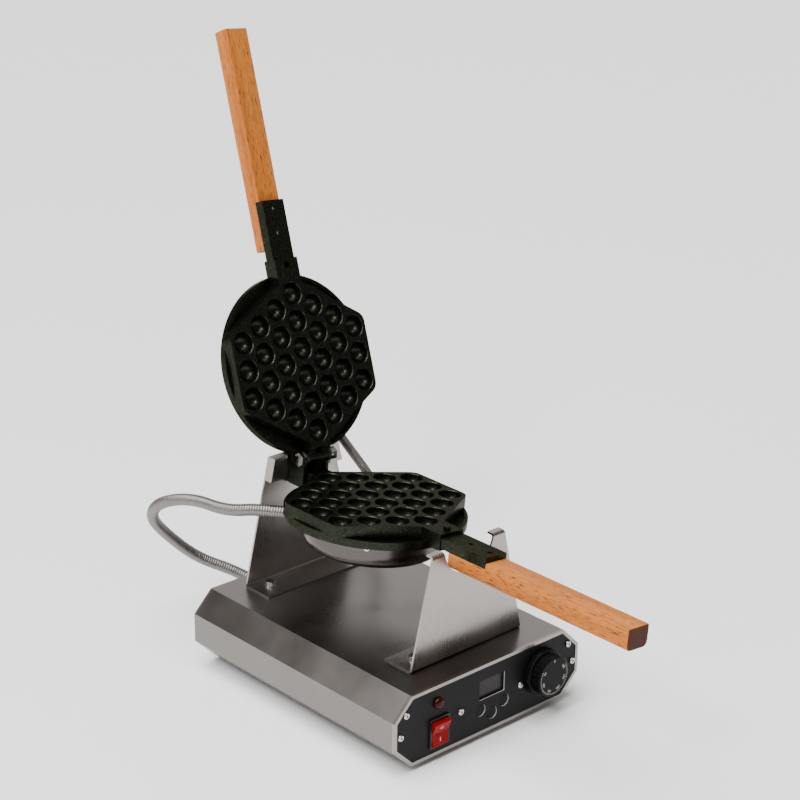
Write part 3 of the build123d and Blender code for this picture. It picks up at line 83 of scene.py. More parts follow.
# Places on the control panel
PANEL_Y = -0.133178
KNOB_X, KNOB_Z = 0.0715, 0.047
KNOB_FACE_Y = PANEL_Y - 0.019
ROCKER_X, ROCKER_Z = -0.067, 0.031
ROCKER_PIVOT_Y = PANEL_Y + 0.003
ROCKER_TILT = math.radians(9.0)

# The rocker's hollow face: its ends lie in front of the pivot, and its middle is deeper by the dish
ROCKER_END_Y = -0.0082
ROCKER_DISH = 0.0032
ROCKER_HALF = 0.01325 - 0.0006

# Print is this thick on each side of its own plane, and the plane lies this far off the face
PRINT_HALF = 0.00005
PRINT_GAP = 0.00003

# Dial: figures 50 to 300 and the ticks between them, clockwise; angles in degrees, sizes in metres
FIGURES = 6
FIGURE_WORTH = 50
FIGURE_ANGLE = 48.0
FIRST_ANGLE = -60.0
TICKS_A_FIGURE = 10
FIGURE_R, FIGURE_SIZE = 0.0148, 0.0036
TICK_R, TICK_WIDTH = 0.0183, 0.00035
LONG_TICK, SHORT_TICK = 0.0024, 0.0015
POINTER_R, POINTER_WIDTH, POINTER_LENGTH = 0.0172, 0.0008, 0.0030

# Marks on the rocker: a bar below and a ring above
MARK_RISE = 0.0068
BAR_WIDTH, BAR_LENGTH = 0.0010, 0.0042
RING_INNER, RING_OUTER, RING_SIDES = 0.0011, 0.0019, 32

# The lean of the moulds at rest, and the hinge of the lid
REST_ROLL = math.radians(5.6)
HINGE_AXIS = Vector((-0.995227, 0.0, 0.097583))
OPEN_ANGLE = math.radians(113.0)

# Hoses: radius, ribs of wound strip, sides of the tube, and steps of the spline between two points.
# A rib's profile gives shares of its pitch, and there the share of the groove's depth.
LOWER_HOSE_R = 0.00625
UPPER_HOSE_R = 0.005
RIB_DEPTH = 0.00045
RIB_PITCH = 0.0027
RIB_PROFILE = ((0.0, 1.0), (0.14, 0.25), (0.28, 0.0), (0.62, 0.0), (0.78, 0.25), (0.92, 1.0))
HOSE_SIDES = 28
SPLINE_STEPS = 24
LOWER_HOSE = (
    (-56.11, 81.06, 175.96), (-76.3, 107.0, 177.9), (-92.5, 136.7, 170.3), (-105.0, 179.3, 174.3),
    (-115.1, 223.1, 158.2), (-102.8, 256.2, 126.1), (-71.9, 266.5, 91.3), (-38.4, 259.7, 57.6),
    (-7.5, 234.1, 41.8), (5.0, 202.5, 31.0), (5.0, 166.5, 31.0),
)
UPPER_HOSE_LID = (
    (48.77, 132.10, 224.29), (63.7, 121.2, 196.9), (74.5, 106.0, 172.5), (89.5, 107.0, 145.5),
    (104.5, 124.0, 124.0), (116.0, 151.5, 115.5), (120.25, 175.25, 117.75),
)
UPPER_HOSE_BASE = (
    (120.25, 175.25, 117.75), (124.5, 199.0, 120.0), (118.5, 233.5, 116.0), (103.0, 258.0, 95.0),
    (82.5, 262.5, 66.5), (61.5, 245.0, 42.0), (40.0, 202.5, 31.0), (40.0, 166.5, 31.0),
)
# Heights of two points over the last point of a hose
LOWER_BEND = (0.172, 0.045)
UPPER_BEND = (0.120, 0.045)

# Colours
WHITE = (1.0, 1.0, 1.0)
BLACK = (0.0, 0.0, 0.0)
# STEEL and COVER_STEEL are stainless darkened far below bare steel: painted shade standing in for the dark
# room that the real steel mirrors.
STEEL = (0.215, 0.197, 0.186)
COVER_STEEL = (0.105, 0.096, 0.091)
BEECH_TONES = ((0.28, (0.38, 0.100, 0.012)), (0.5, (0.48, 0.148, 0.020)), (0.74, (0.58, 0.205, 0.036)))
BEECH_FLECK = (0.12, 0.035, 0.012)

# Turns that lay a material's grain along an axis of the frame
ALONG_X = (0.0, 0.0, 0.0)
ALONG_Z = (0.0, math.radians(90.0), 0.0)

# The material of each CAD node
DRESSED = {
    "box_steel": ("base_shell", "bottom_plate", "rear_panel"),
    "stand_steel": ("front_stand",),
    "rear_stand_steel": ("rear_stand",),
    "rim_steel": ("front_frame",),
    "bright_steel": (
        "foot_screws", "bottom_plate_screws", "panel_screws", "rear_panel_screws", "stand_bolts",
        "stand_washers", "stand_nuts", "hinge_bolt", "hinge_nut", "lower_cover_screws",
        "upper_cover_screws", "lower_handle_screws", "upper_handle_screws", "yoke_screws",
        "spindle_nut", "gland_nuts", "heat_lamp_nut",
    ),
    "dull_steel": (
        "lower_heater", "upper_heater", "base_hose_glands", "lower_hose_gland", "upper_hose_gland",
        "thermostat_body",
    ),
    "dark_steel": ("swivel_yoke",),
    "coated": ("lower_mould", "upper_mould"),
    "panel": ("control_panel",),
    "black_plastic": ("switch_housing", "timer_display", "power_inlet_gland", "contactor", "dial_ring"),
    "knob_plastic": ("temperature_knob",),
    "button_plastic": ("timer_button_left", "timer_button_middle", "timer_button_right"),
    "white_plastic": ("terminal_block", "timer_posts"),
    "rubber": ("rubber_feet",),
    "brass": ("swivel_bush",),
    "red_plastic": ("power_rocker",),
    "lamp": ("heat_lamp",),
    "display": ("timer_glass",),
    "fibre": ("lower_insulation", "upper_insulation"),
    "laminate": ("timer_board",),
    "beech_lower": ("lower_handle",),
    "beech_upper": ("upper_handle",),
    "lower_cover": ("lower_cover",),
    "upper_cover": ("upper_cover",),
    "hose": ("lower_hose", "upper_hose_lid_end", "upper_hose_base_end"),
}


# Objects and shader nodes

def new_object(name, data):
    """An object that holds data, put in the scene."""
    thing = bpy.data.objects.new(name, data)
    bpy.context.scene.collection.objects.link(thing)
    return thing


def aim(thing, back):
    """Turns an object so that its own Z, its back, lies along the given direction."""
    thing.rotation_mode = "QUATERNION"
    thing.rotation_quaternion = Vector(back).to_track_quat("Z", "Y")


def new_material(name):
    material = bpy.data.materials.new(name)
    material.use_nodes = True
    return material, material.node_tree.nodes["Principled BSDF"]


def add(owner, kind, **values):
    """A new node in a material or world."""
    node = owner.node_tree.nodes.new(kind)
    for key, value in values.items():
        setattr(node, key, value)
    return node


def link(owner, output, target):
    owner.node_tree.links.new(output, target)


def settle(node, values):
    """Sets a node's inputs by their names."""
    for name, value in values.items():
        node.inputs[name].default_value = value


def object_place(material, turn=None, scale=(1.0, 1.0, 1.0), move=(0.0, 0.0, 0.0)):
    """The point of the surface at rest: moved, then turned so that the grain lies along X, then scaled."""
    place = add(material, "ShaderNodeTexCoord").outputs["Object"]
    steps = [("Location", move), ("Scale", scale)]
    if turn is not None:
        steps.insert(1, ("Rotation", turn))
    for name, value in steps:
        mapping = add(material, "ShaderNodeMapping")
        settle(mapping, {name: value})
        link(material, place, mapping.inputs["Vector"])
        place = mapping.outputs["Vector"]
    return place


def noise(material, place, scale, detail, roughness=0.5):
    node = add(material, "ShaderNodeTexNoise")
    settle(node, {"Scale": scale, "Detail": detail, "Roughness": roughness})
    link(material, place, node.inputs["Vector"])
    return node.outputs["Fac"]


def ramp(owner, value, stops):
    """A colour for each value, from (position, colour) stops."""
    node = add(owner, "ShaderNodeValToRGB")
    elements = node.color_ramp.elements
    for element, (position, colour) in zip(elements, (stops[0], stops[-1])):
        element.position = position
        element.color = (*colour, 1.0)
    for position, colour in stops[1:-1]:
        elements.new(position).color = (*colour, 1.0)
    link(owner, value, node.inputs["Fac"])
    return node.outputs["Color"]


def grey(tone):
    return (tone, tone, tone)


def warm_grey(tone):
    return (tone, tone * 0.965, tone * 0.94)


def shade(material, value, dark, start=0.3, end=0.7):
    """A factor for a colour: dark up to the start of value, white from its end on."""
    return ramp(material, value, ((start, dark), (end, WHITE)))


def spread(material, value, low, high, start=0.3, end=0.7):
    """value from start to end becomes low to high."""
    node = add(material, "ShaderNodeMapRange")
    settle(node, {"From Min": start, "From Max": end, "To Min": low, "To Max": high})
    link(material, value, node.inputs["Value"])
    return node.outputs["Result"]


def blend_colours(owner, share, first, second, kind="MIX"):
    """Mixes two colours or sockets, in a share that is a number or a socket."""
    node = add(owner, "ShaderNodeMix", data_type="RGBA", blend_type=kind)
    sockets = (node.inputs["Factor"], node.inputs[6], node.inputs[7])
    for socket, value in zip(sockets, (share, first, second)):
        if isinstance(value, bpy.types.NodeSocket):
            link(owner, value, socket)
        elif isinstance(value, (int, float)):
            socket.default_value = value
        else:
            socket.default_value = (*value, 1.0)
    return node.outputs[2]


def times(material, colour, *factors):
    """colour made darker by each factor socket."""
    for factor in factors:
        colour = blend_colours(material, 1.0, colour, factor, "MULTIPLY")
    return colour


def along(owner, vector, direction):
    """How far a vector reaches along a direction."""
    node = add(owner, "ShaderNodeVectorMath", operation="DOT_PRODUCT")
    node.inputs[1].default_value = Vector(direction).normalized()
    link(owner, vector, node.inputs[0])
    return node.outputs["Value"]


def facing(material, normal, direction, start, end):
    """1 where the surface faces the direction or its opposite, else 0. It turns with the object."""
    surface = add(material, "ShaderNodeNewGeometry").outputs[normal]
    turned = add(material, "ShaderNodeVectorTransform",
                 vector_type="NORMAL", convert_from="WORLD", convert_to="OBJECT")
    link(material, surface, turned.inputs[0])
    size = add(material, "ShaderNodeMath", operation="ABSOLUTE")
    link(material, along(material, turned.outputs[0], direction), size.inputs[0])
    return spread(material, size.outputs[0], 0.0, 1.0, start, end)


def bump(material, shader, height, distance, strength):
    node = add(material, "ShaderNodeBump")
    settle(node, {"Distance": distance, "Strength": strength})
    link(material, height, node.inputs["Height"])
    link(material, node.outputs["Normal"], shader.inputs["Normal"])


# Camera, floor and lights

def make_camera():
    back = (CAMERA_AT - LOOK_AT).normalized()
    level = Vector((0.0, 0.0, 1.0)).cross(back).normalized()
    upright = back.cross(level)
    right = level * math.cos(CAMERA_ROLL) + upright * math.sin(CAMERA_ROLL)
    up = back.cross(right)
    data = bpy.data.cameras.new("camera")
    data.lens = CAMERA_LENS
    data.sensor_width = CAMERA_SENSOR
    data.clip_start, data.clip_end = CAMERA_CLIP
    camera = new_object("camera", data)
    turn = Matrix((right, up, back)).transposed().to_4x4()
    camera.matrix_world = Matrix.Translation(CAMERA_AT) @ turn
    bpy.context.scene.camera = camera


def make_floor():
    mesh = bpy.data.meshes.new("floor")
    corners = ((-1, -1), (1, -1), (1, 1), (-1, 1))
    mesh.from_pydata([(x * FLOOR_HALF, y * FLOOR_HALF, FLOOR_Z) for x, y in corners], [], [(0, 1, 2, 3)])
    floor = new_object("floor", mesh)
    material, shader = new_material("floor_paper")
    settle(shader, {"Base Color": (0.93, 0.93, 0.93, 1.0), "Roughness": 0.9, "Specular IOR Level": 0.1})
    mesh.materials.append(material)


def make_lights():
    data = bpy.data.lights.new("ceiling", "SUN")
    data.energy = SUN_STRENGTH
    data.angle = SUN_ANGLE
    aim(new_object("ceiling", data), SUN_TOWARDS)
    for name, place, target, size, power in AREA_LIGHTS:
        data = bpy.data.lights.new(name, "AREA")
        data.shape = "RECTANGLE"
        data.size, data.size_y = size
        data.energy = power
        light = new_object(name, data)
        light.location = place
        aim(light, Vector(place) - Vector(target))


def make_room():
    world = bpy.data.worlds.new("studio")
    bpy.context.scene.world = world
    world.use_nodes = True
    place = add(world, "ShaderNodeTexCoord").outputs["Generated"]
    split = add(world, "ShaderNodeSeparateXYZ")
    link(world, place, split.inputs[0])
    height = ramp(world, split.outputs["Z"], [(z, warm_grey(tone)) for z, tone in ROOM_TONES])
    patch = add(world, "ShaderNodeMapRange", interpolation_type="SMOOTHSTEP")
    settle(patch, {"From Min": PATCH_START, "From Max": PATCH_FULL, "To Max": 1.0})
    link(world, along(world, place, PATCH_TOWARDS), patch.inputs["Value"])
    total = blend_colours(world, 1.0, height, patch.outputs["Result"], "ADD")
    background = world.node_tree.nodes["Background"]
    link(world, total, background.inputs["Color"])
    settle(background, {"Strength": 1.0})


# Materials

def brushed_metal(name, colour, turn, rough=(0.26, 0.36), stretch=(14.0, 900.0, 900.0)):
    """Sheet brushed along one line, with faint marks of handling."""
    material, shader = new_material(name)
    lines = noise(material, object_place(material, turn, stretch), 1.0, 4.0, 0.65)
    cloud = noise(material, object_place(material), 13.0, 4.0, 0.6)
    tone = shade(material, lines, grey(0.90), 0.25, 0.75)
    stain = shade(material, cloud, (0.90, 0.885, 0.87))
    link(material, times(material, colour, tone, stain), shader.inputs["Base Color"])
    settle(shader, {"Metallic": 1.0, "Anisotropic": 0.45})
    smear = blend_colours(material, 0.75, lines, cloud)
    link(material, spread(material, smear, *rough, 0.35, 0.65), shader.inputs["Roughness"])
    bump(material, shader, lines, 0.00004, 0.08)
    return material


def spun_metal(name, colour, centre, turn):
    """Pressed cover polished on a lathe: fine rings about its own axis."""
    material, shader = new_material(name)
    place = object_place(material, turn, move=tuple(-c for c in centre))
    split = add(material, "ShaderNodeSeparateXYZ")
    link(material, place, split.inputs[0])
    flat = add(material, "ShaderNodeCombineXYZ")
    link(material, split.outputs["X"], flat.inputs["X"])
    link(material, split.outputs["Y"], flat.inputs["Y"])
    reach = add(material, "ShaderNodeVectorMath", operation="LENGTH")
    link(material, flat.outputs[0], reach.inputs[0])
    pair = add(material, "ShaderNodeCombineXYZ")
    link(material, reach.outputs["Value"], pair.inputs["X"])
    link(material, split.outputs["Z"], pair.inputs["Y"])
    rings = add(material, "ShaderNodeTexNoise", noise_dimensions="2D")
    settle(rings, {"Scale": 900.0, "Detail": 3.0})
    link(material, pair.outputs[0], rings.inputs["Vector"])
    cloud = noise(material, object_place(material), 16.0, 4.0, 0.6)
    tone = shade(material, rings.outputs["Fac"], grey(0.86))
    stain = shade(material, cloud, (0.90, 0.87, 0.84))
    link(material, times(material, colour, tone, stain), shader.inputs["Base Color"])
    settle(shader, {"Metallic": 1.0})
    link(material, spread(material, cloud, 0.2, 0.3), shader.inputs["Roughness"])
    bump(material, shader, rings.outputs["Fac"], 0.00003, 0.3)
    return material


def plated_metal(name, colour, rough):
    """Smooth metal with a slightly uneven shine."""
    material, shader = new_material(name)
    place = object_place(material)
    fine = noise(material, place, 160.0, 3.0)
    tone = shade(material, fine, grey(0.92))
    link(material, times(material, colour, tone), shader.inputs["Base Color"])
    settle(shader, {"Metallic": 1.0})
    link(material, spread(material, fine, *rough), shader.inputs["Roughness"])
    bump(material, shader, noise(material, place, 900.0, 2.0), 0.00003, 0.3)
    return material


def coated_metal(name, colour, sheen, rough):
    """Cast plate under a dark non-stick coat that has fine green metallic specks in it."""
    material, shader = new_material(name)
    place = object_place(material)
    specks = noise(material, place, 1500.0, 2.0, 0.6)
    cloud = noise(material, place, 22.0, 3.0, 0.6)
    glint = ramp(material, specks, ((0.57, BLACK), (0.74, WHITE)))
    body = blend_colours(material, glint, colour, sheen)
    tone = shade(material, cloud, grey(0.82))
    link(material, times(material, body, tone), shader.inputs["Base Color"])
    settle(shader, {"Metallic": 0.9, "Specular IOR Level": 0.2, "Specular Tint": (0.46, 0.45, 0.42, 1.0)})
    link(material, spread(material, specks, *rough), shader.inputs["Roughness"])
    bump(material, shader, specks, 0.00006, 0.35)
    return material


def moulded_plastic(name, colour, rough, shine=0.5, grain=1500.0, depth=0.00004):
    """Plastic or rubber with the fine grain of its mould."""
    material, shader = new_material(name)
    place = object_place(material)
    fine = noise(material, place, grain, 2.0, 0.6)
    tone = shade(material, noise(material, place, 30.0, 2.0), grey(0.85))
    link(material, times(material, colour, tone), shader.inputs["Base Color"])
    link(material, spread(material, fine, *rough), shader.inputs["Roughness"])
    settle(shader, {"Specular IOR Level": shine})
    bump(material, shader, fine, depth, 0.4)
    return material


def painted_panel(name):
    """Satin black sheet whose cut edges are bare metal, their bright tone partly a painted highlight."""
    material, shader = new_material(name)
    place = object_place(material)
    fine = noise(material, place, 1300.0, 3.0, 0.6)
    cloud = noise(material, place, 16.0, 3.0)
    paint = ramp(material, cloud, ((0.3, (0.0045, 0.0040, 0.0042)), (0.7, (0.0070, 0.0062, 0.0064))))
    # Faces across the sheet's thickness get a bright metal colour: bare cut edges, brightened as a painted
    # highlight.
    flat = facing(material, "True Normal", (0.0, 1.0, 0.0), 0.55, 0.8)
    colour = blend_colours(material, flat, (0.90, 0.88, 0.85), paint)
    link(material, colour, shader.inputs["Base Color"])
    link(material, spread(material, flat, 0.6, 0.0, 0.0, 1.0), shader.inputs["Metallic"])
    settle(shader, {"Specular IOR Level": 0.12})
    link(material, spread(material, fine, 0.40, 0.52), shader.inputs["Roughness"])
    bump(material, shader, fine, 0.00003, 0.3)
    return material


def beech(name, direction):
    """Oiled beech: faint growth bands and the short dark flecks of its rays, all along the stick; its ends
    are far darker, partly as end grain and partly as painted shade.
    """
    material, shader = new_material(name)
    turn = tuple(Vector(direction).rotation_difference(Vector((1.0, 0.0, 0.0))).to_euler())
    bands = noise(material, object_place(material, turn, (3.0, 110.0, 60.0)), 1.0, 4.0, 0.55)
    fibre = noise(material, object_place(material, turn, (30.0, 1500.0, 1500.0)), 1.0, 3.0, 0.6)
    rays = noise(material, object_place(material, turn, (105.0, 1250.0, 1250.0)), 1.0, 1.0, 0.4)
    wood = ramp(material, bands, BEECH_TONES)
    fine = shade(material, fibre, (0.84, 0.82, 0.80), 0.25, 0.75)
    fleck = ramp(material, rays, ((0.60, BLACK), (0.67, WHITE)))
    plain = blend_colours(material, fleck, times(material, wood, fine), BEECH_FLECK)
    # The stick's ends are darkened to about a tenth: partly the end grain's own tone, partly painted
    # shade.
    end_grain_and_shade_tone = ramp(material, fibre, ((0.3, (0.08, 0.045, 0.02)), (0.7, (0.18, 0.11, 0.06))))
    end_grain_and_shade = facing(material, "Normal", direction, 0.6, 0.85)
    colour = blend_colours(material, end_grain_and_shade, plain, times(material, plain, end_grain_and_shade_tone))
    link(material, colour, shader.inputs["Base Color"])
    link(material, spread(material, fibre, 0.44, 0.6), shader.inputs["Roughness"])
    settle(shader, {"Specular IOR Level": 0.15})
    bump(material, shader, fibre, 0.00012, 0.4)
    return material


def glossy_lens(name, colour, rough, shine, coat):
    """Smooth coloured plastic of a lens or rocker, unlit."""
    material, shader = new_material(name)
    fine = noise(material, object_place(material), 700.0, 2.0)
    tone = shade(material, fine, grey(0.8))
    link(material, times(material, colour, tone), shader.inputs["Base Color"])
    link(material, spread(material, fine, *rough), shader.inputs["Roughness"])
    settle(shader, {"Specular IOR Level": shine, "Coat Weight": coat, "Coat Roughness": 0.08})
    bump(material, shader, fine, 0.00002, 0.2)
    return material


def mineral_fibre(name):
    """Pale tufted insulation, pressed flat."""
    material, shader = new_material(name)
    place = object_place(material, scale=(1.0, 1.0, 3.0))
    tufts = noise(material, place, 260.0, 5.0, 0.7)
    colour = ramp(material, tufts, ((0.3, (0.52, 0.49, 0.40)), (0.7, (0.80, 0.78, 0.70))))
    link(material, colour, shader.inputs["Base Color"])
    settle(shader, {"Roughness": 0.95})
    bump(material, shader, tufts, 0.0006, 0.6)
    return material


def circuit_laminate(name):
    """Green board with paler tracks between its cells."""
    material, shader = new_material(name)
    place = object_place(material)
    weave = noise(material, place, 1600.0, 2.0)
    cells = add(material, "ShaderNodeTexVoronoi", feature="DISTANCE_TO_EDGE")
    settle(cells, {"Scale": 190.0})
    link(material, place, cells.inputs["Vector"])
    tracks = ramp(material, cells.outputs["Distance"], ((0.04, WHITE), (0.07, BLACK)))
    base = ramp(material, weave, ((0.3, (0.012, 0.10, 0.035)), (0.7, (0.02, 0.15, 0.05))))
    link(material, blend_colours(material, tracks, base, (0.05, 0.28, 0.10)), shader.inputs["Base Color"])
    settle(shader, {"Roughness": 0.45})
    bump(material, shader, weave, 0.00003, 0.3)
    return material


def cover_steel(node, open_lid):
    """A cover's own steel: its rings lie about its middle, and its axis is turned upright for them."""
    low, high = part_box(node)
    turn = Matrix.Rotation(REST_ROLL, 3, "Y")
    if open_lid:
        turn = Matrix.Rotation(OPEN_ANGLE, 3, HINGE_AXIS) @ turn
    return spun_metal(node + "_steel", COVER_STEEL, (low + high) / 2, turn.inverted().to_euler())


def longest_line(node):
    """The direction in which the corners of a CAD node lie furthest apart."""
    corners = np.array([v.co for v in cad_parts[node].data.vertices], float)
    return Vector(np.linalg.svd(corners - corners.mean(0), full_matrices=False)[2][0])


def make_materials():
    """Every material by its name, from its recipe and what that takes."""
    stand_brush = (10.0, 1000.0, 1000.0)
    recipes = {
        "box_steel": (brushed_metal, STEEL, ALONG_X),
        # The stands take lighter copies of the box's stainless: the difference in tone is painted light
        # and shade.
        "stand_steel": (brushed_metal, (0.36, 0.332, 0.315), ALONG_Z, (0.22, 0.34), stand_brush),
        "rear_stand_steel": (brushed_metal, (0.42, 0.39, 0.37), ALONG_Z, (0.24, 0.36), stand_brush),
        "rim_steel": (brushed_metal, (0.30, 0.285, 0.272), ALONG_X, (0.2, 0.3)),
        "bright_steel": (plated_metal, (0.56, 0.55, 0.535), (0.12, 0.24)),
        "dull_steel": (plated_metal, (0.42, 0.41, 0.40), (0.3, 0.45)),
        "dark_steel": (plated_metal, (0.045, 0.055, 0.042), (0.34, 0.48)),
        "brass": (plated_metal, (0.72, 0.52, 0.24), (0.25, 0.4)),
        "hose": (plated_metal, (0.21, 0.196, 0.187), (0.32, 0.42)),
        "coated": (coated_metal, (0.0170, 0.0164, 0.0140), (0.120, 0.195, 0.085), (0.24, 0.36)),
        "panel": (painted_panel,),
        "black_plastic": (moulded_plastic, grey(0.006), (0.35, 0.5), 0.3),
        "knob_plastic": (moulded_plastic, grey(0.004), (0.28, 0.4), 0.08, 1800.0, 0.00002),
        "button_plastic": (moulded_plastic, grey(0.005), (0.4, 0.5), 0.1),
        "white_plastic": (moulded_plastic, (0.70, 0.69, 0.65), (0.35, 0.5)),
        "rubber": (moulded_plastic, grey(0.02), (0.7, 0.85), 0.5, 500.0, 0.0001),
        "marking": (moulded_plastic, (0.50, 0.50, 0.49), (0.45, 0.6)),
        "red_plastic": (glossy_lens, (0.26, 0.0004, 0.0004), (0.22, 0.30), 0.06, 0.0),
        "lamp": (glossy_lens, (0.030, 0.0004, 0.0004), (0.10, 0.2), 0.12, 0.08),
        "display": (glossy_lens, (0.016, 0.013, 0.017), (0.16, 0.26), 0.15, 0.1),
        "fibre": (mineral_fibre,),
        "laminate": (circuit_laminate,),
        "beech_lower": (beech, (0.0, 1.0, 0.0)),
        "beech_upper": (beech, longest_line("upper_handle")),
        "lower_cover": (cover_steel, False),
        "upper_cover": (cover_steel, True),
    }
    return {name: make(name, *values) for name, (make, *values) in recipes.items()}


def dress(node, material):
    """Gives a CAD node's own object a material in all its slots."""
    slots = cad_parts[node].data.materials
    for index in range(len(slots)):
        slots[index] = material
    if not len(slots):
        slots.append(material)


# Hoses

def mesh_object(name, points, faces, material, smooth=True):
    mesh = bpy.data.meshes.new(name)
    mesh.from_pydata([tuple(p) for p in points], [], faces)
    mesh.update()
    for polygon in mesh.polygons:
        polygon.use_smooth = smooth
    mesh.materials.append(material)
    return new_object(name, mesh)


def in_frame(place):
    """A point of the CAD source, in millimetres, as a point of the frame."""
    return Vector(place) / 1000.0 + SHIFT


def route_line(name, route):
    """Points along the route's own NURBS spline, in metres."""
    data = bpy.data.curves.new(name, "CURVE")
    data.dimensions = "3D"
    data.resolution_u = SPLINE_STEPS
    spline = data.splines.new("NURBS")
    spline.points.add(len(route) - 1)
    for point, place in zip(spline.points, route):
        point.co = (*in_frame(place), 1.0)
    spline.order_u = 3
    spline.use_endpoint_u = True
    guide = new_object(name, data)
    line = bpy.data.meshes.new_from_object(guide)
    points = [v.co.copy() for v in line.vertices]
    bpy.data.objects.remove(guide)
    return points


def at_distance(points, lengths, distance):
    """The point and direction at a distance along a line of points."""
    index = int(np.searchsorted(lengths, distance)) - 1
    index = max(0, min(index, len(points) - 2))
    span = lengths[index + 1] - lengths[index]
    share = (distance - lengths[index]) / span
    a, b = points[index], points[index + 1]
    return a.lerp(b, share), (b - a).normalized()


def rib_rings(length, radius):
    """(distance, radius) of each ring of a ribbed hose: whole ribs from end to end."""
    count = round(length / RIB_PITCH)
    pitch = length / count
    rings = [(pitch * (k + share), radius - drop * RIB_DEPTH)
             for k in range(count) for share, drop in RIB_PROFILE]
    return rings + [(length, radius - RIB_DEPTH)]


def tube_faces(rings, sides):
    """Quads from ring to ring, and a flat cap on each end."""
    faces = []
    for ring in range(rings - 1):
        for k in range(sides):
            a, b = ring * sides + k, ring * sides + (k + 1) % sides
            faces.append((a, b, b + sides, a + sides))
    last = (rings - 1) * sides
    return faces + [tuple(reversed(range(sides))), tuple(range(last, last + sides))]


def ribbed_hose(name, route, radius, material):
    """A tube of wound strip: each rib rises, runs flat and falls back into its groove."""
    points = route_line(name + "_line", route)
    lengths = [0.0]
    for a, b in zip(points, points[1:]):
        lengths.append(lengths[-1] + (b - a).length)
    rings = rib_rings(lengths[-1], radius)
    places = []
    side = None
    for distance, r in rings:
        centre, ahead = at_distance(points, lengths, min(distance, lengths[-1]))
        side = ahead.orthogonal() if side is None else side - ahead * side.dot(ahead)
        side.normalize()
        other = ahead.cross(side)
        for k in range(HOSE_SIDES):
            turn = 2 * math.pi * k / HOSE_SIDES
            places.append(centre + (side * math.cos(turn) + other * math.sin(turn)) * r)
    hose = mesh_object(name, places, tube_faces(len(rings), HOSE_SIDES), material)
    return hose, points, lengths[-1]


def lay_hose(node, route, radius, material, bodies, start, end, pieces=()):
    """A ribbed hose in place of its plain CAD node."""
    hose, path, length = ribbed_hose(node + "_ribbed", route, radius, material)
    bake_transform(hose)
    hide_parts(node)


def over_end(route, heights):
    """Points at these heights, upright over the hose's last point."""
    x, y, _ = in_frame(route[-1])
    return [(x, y, z) for z in heights]


def make_hoses(material):
    lay_hose("lower_hose", LOWER_HOSE, LOWER_HOSE_R, material, ("moulds", "base"),
             *over_end(LOWER_HOSE, LOWER_BEND), ["lower_hose_gland", "base_hose_glands"])
    lay_hose("upper_hose_lid_end", UPPER_HOSE_LID, UPPER_HOSE_R, material, ("lid", "moulds"),
             in_frame(UPPER_HOSE_LID[0]), in_frame(UPPER_HOSE_LID[-1]), ["upper_hose_gland"])
    lay_hose("upper_hose_base_end", UPPER_HOSE_BASE, UPPER_HOSE_R, material, ("moulds", "base"),
             *over_end(UPPER_HOSE_BASE, UPPER_BEND))


# Printed marks

def printed_text(name, words, size, place, material):
    """Raised print: a text turned into a mesh, its own XY plane laid on place's."""
    data = bpy.data.curves.new(name + "_text", "FONT")
    data.body = words
    data.size = size
    data.align_x = "CENTER"
    data.align_y = "CENTER"
    data.extrude = PRINT_HALF
    guide = new_object(name + "_text", data)
    bpy.context.view_layer.update()
    mesh = bpy.data.meshes.new_from_object(guide)
    bpy.data.objects.remove(guide)
    mesh.transform(place)
    mesh.materials.clear()
    mesh.materials.append(material)
    return new_object(name, mesh)


def bars(name, places, material):
    """Flat bars in one mesh, each from its frame, width and length."""
    points, faces = [], []
    for place, width, length in places:
        start = len(points)
        for z in (-PRINT_HALF, PRINT_HALF):
            for x, y in ((-1, -1), (1, -1), (1, 1), (-1, 1)):
                points.append(place @ Vector((x * width / 2, y * length / 2, z)))
        for side in ((3, 2, 1, 0), (4, 5, 6, 7), (0, 1, 5, 4), (1, 2, 6, 5), (2, 3, 7, 6), (3, 0, 4, 7)):
            faces.append(tuple(start + corner for corner in side))
    return mesh_object(name, points, faces, material, smooth=False)


def ring_mark(name, place, material):
    """A flat ring with a square section."""
    points, faces = [], []
    for z in (-PRINT_HALF, PRINT_HALF):
        for radius in (RING_INNER, RING_OUTER):
            for k in range(RING_SIDES):
                turn = 2 * math.pi * k / RING_SIDES
                points.append(place @ Vector((radius * math.cos(turn), radius * math.sin(turn), z)))
    for k in range(RING_SIDES):
        low_in, low_out, high_in, high_out = (ring * RING_SIDES + k for ring in range(4))
        ahead = (k + 1) % RING_SIDES
        next_low_in, next_low_out, next_in, next_out = (ring * RING_SIDES + ahead for ring in range(4))
        faces.append((high_in, high_out, next_out, next_in))
        faces.append((low_out, low_in, next_low_in, next_low_out))
        faces.append((low_out, next_low_out, next_out, high_out))
        faces.append((next_low_in, low_in, high_in, next_in))
    return mesh_object(name, points, faces, material, smooth=False)


def print_on(body, *pieces):
    """Ties printed marks to the body whose face they are on."""
    for piece in pieces:
        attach(piece, body)


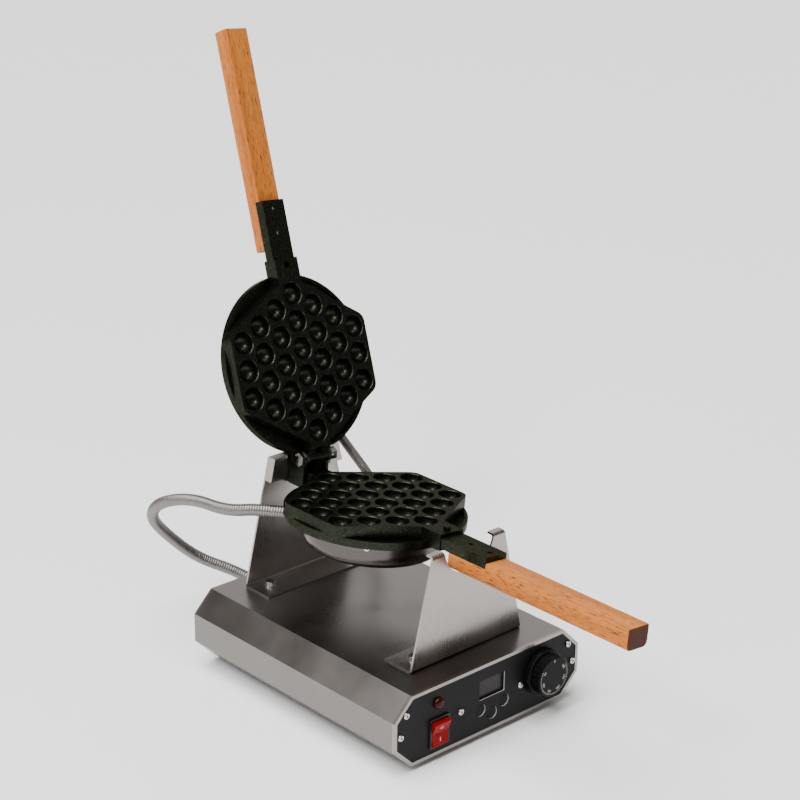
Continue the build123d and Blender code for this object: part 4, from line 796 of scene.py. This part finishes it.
def on_dial(radius, degrees):
    """A frame on the knob's face, turned clockwise about its middle."""
    face = Matrix.Translation((KNOB_X, KNOB_FACE_Y - PRINT_GAP, KNOB_Z))
    turn = Matrix.Rotation(math.radians(degrees), 4, "Y") @ Matrix.Rotation(math.radians(90.0), 4, "X")
    return face @ turn @ Matrix.Translation((0.0, radius, 0.0))


def make_dial_marks(material):
    ticks = []
    for k in range((FIGURES - 1) * TICKS_A_FIGURE + 1):
        angle = FIRST_ANGLE - FIGURE_ANGLE / TICKS_A_FIGURE * k
        length = SHORT_TICK if k % TICKS_A_FIGURE else LONG_TICK
        ticks.append((on_dial(TICK_R, angle), TICK_WIDTH, length))
    ticks.append((on_dial(POINTER_R, 0.0), POINTER_WIDTH, POINTER_LENGTH))
    print_on("knob", bars("dial_ticks", ticks, material))
    for k in range(FIGURES):
        words = str(FIGURE_WORTH * (k + 1))
        place = on_dial(FIGURE_R, FIRST_ANGLE - FIGURE_ANGLE * k)
        print_on("knob", printed_text("dial_figure_" + words, words, FIGURE_SIZE, place, material))


def on_rocker(rise):
    """A frame on the rocker's hollow face, rise metres above its middle along the face."""
    slope = math.copysign(math.atan2(ROCKER_DISH, ROCKER_HALF), rise)
    y = ROCKER_END_Y + ROCKER_DISH * (1.0 - abs(rise) / ROCKER_HALF)
    local = (Matrix.Translation((0.0, y - PRINT_GAP, rise))
             @ Matrix.Rotation(math.radians(90.0) + slope, 4, "X"))
    pivot = Matrix.Translation((ROCKER_X, ROCKER_PIVOT_Y, ROCKER_Z))
    return pivot @ Matrix.Rotation(ROCKER_TILT, 4, "X") @ local


def make_rocker_marks(material):
    on_mark = bars("rocker_on_mark", [(on_rocker(-MARK_RISE), BAR_WIDTH, BAR_LENGTH)], material)
    off_mark = ring_mark("rocker_off_mark", on_rocker(MARK_RISE), material)
    print_on("rocker", on_mark, off_mark)


def main():
    make_camera()
    make_floor()
    make_lights()
    make_room()
    materials = make_materials()
    for key, nodes in DRESSED.items():
        for node in nodes:
            dress(node, materials[key])
    make_hoses(materials["hose"])
    make_dial_marks(materials["marking"])
    make_rocker_marks(materials["marking"])


main()
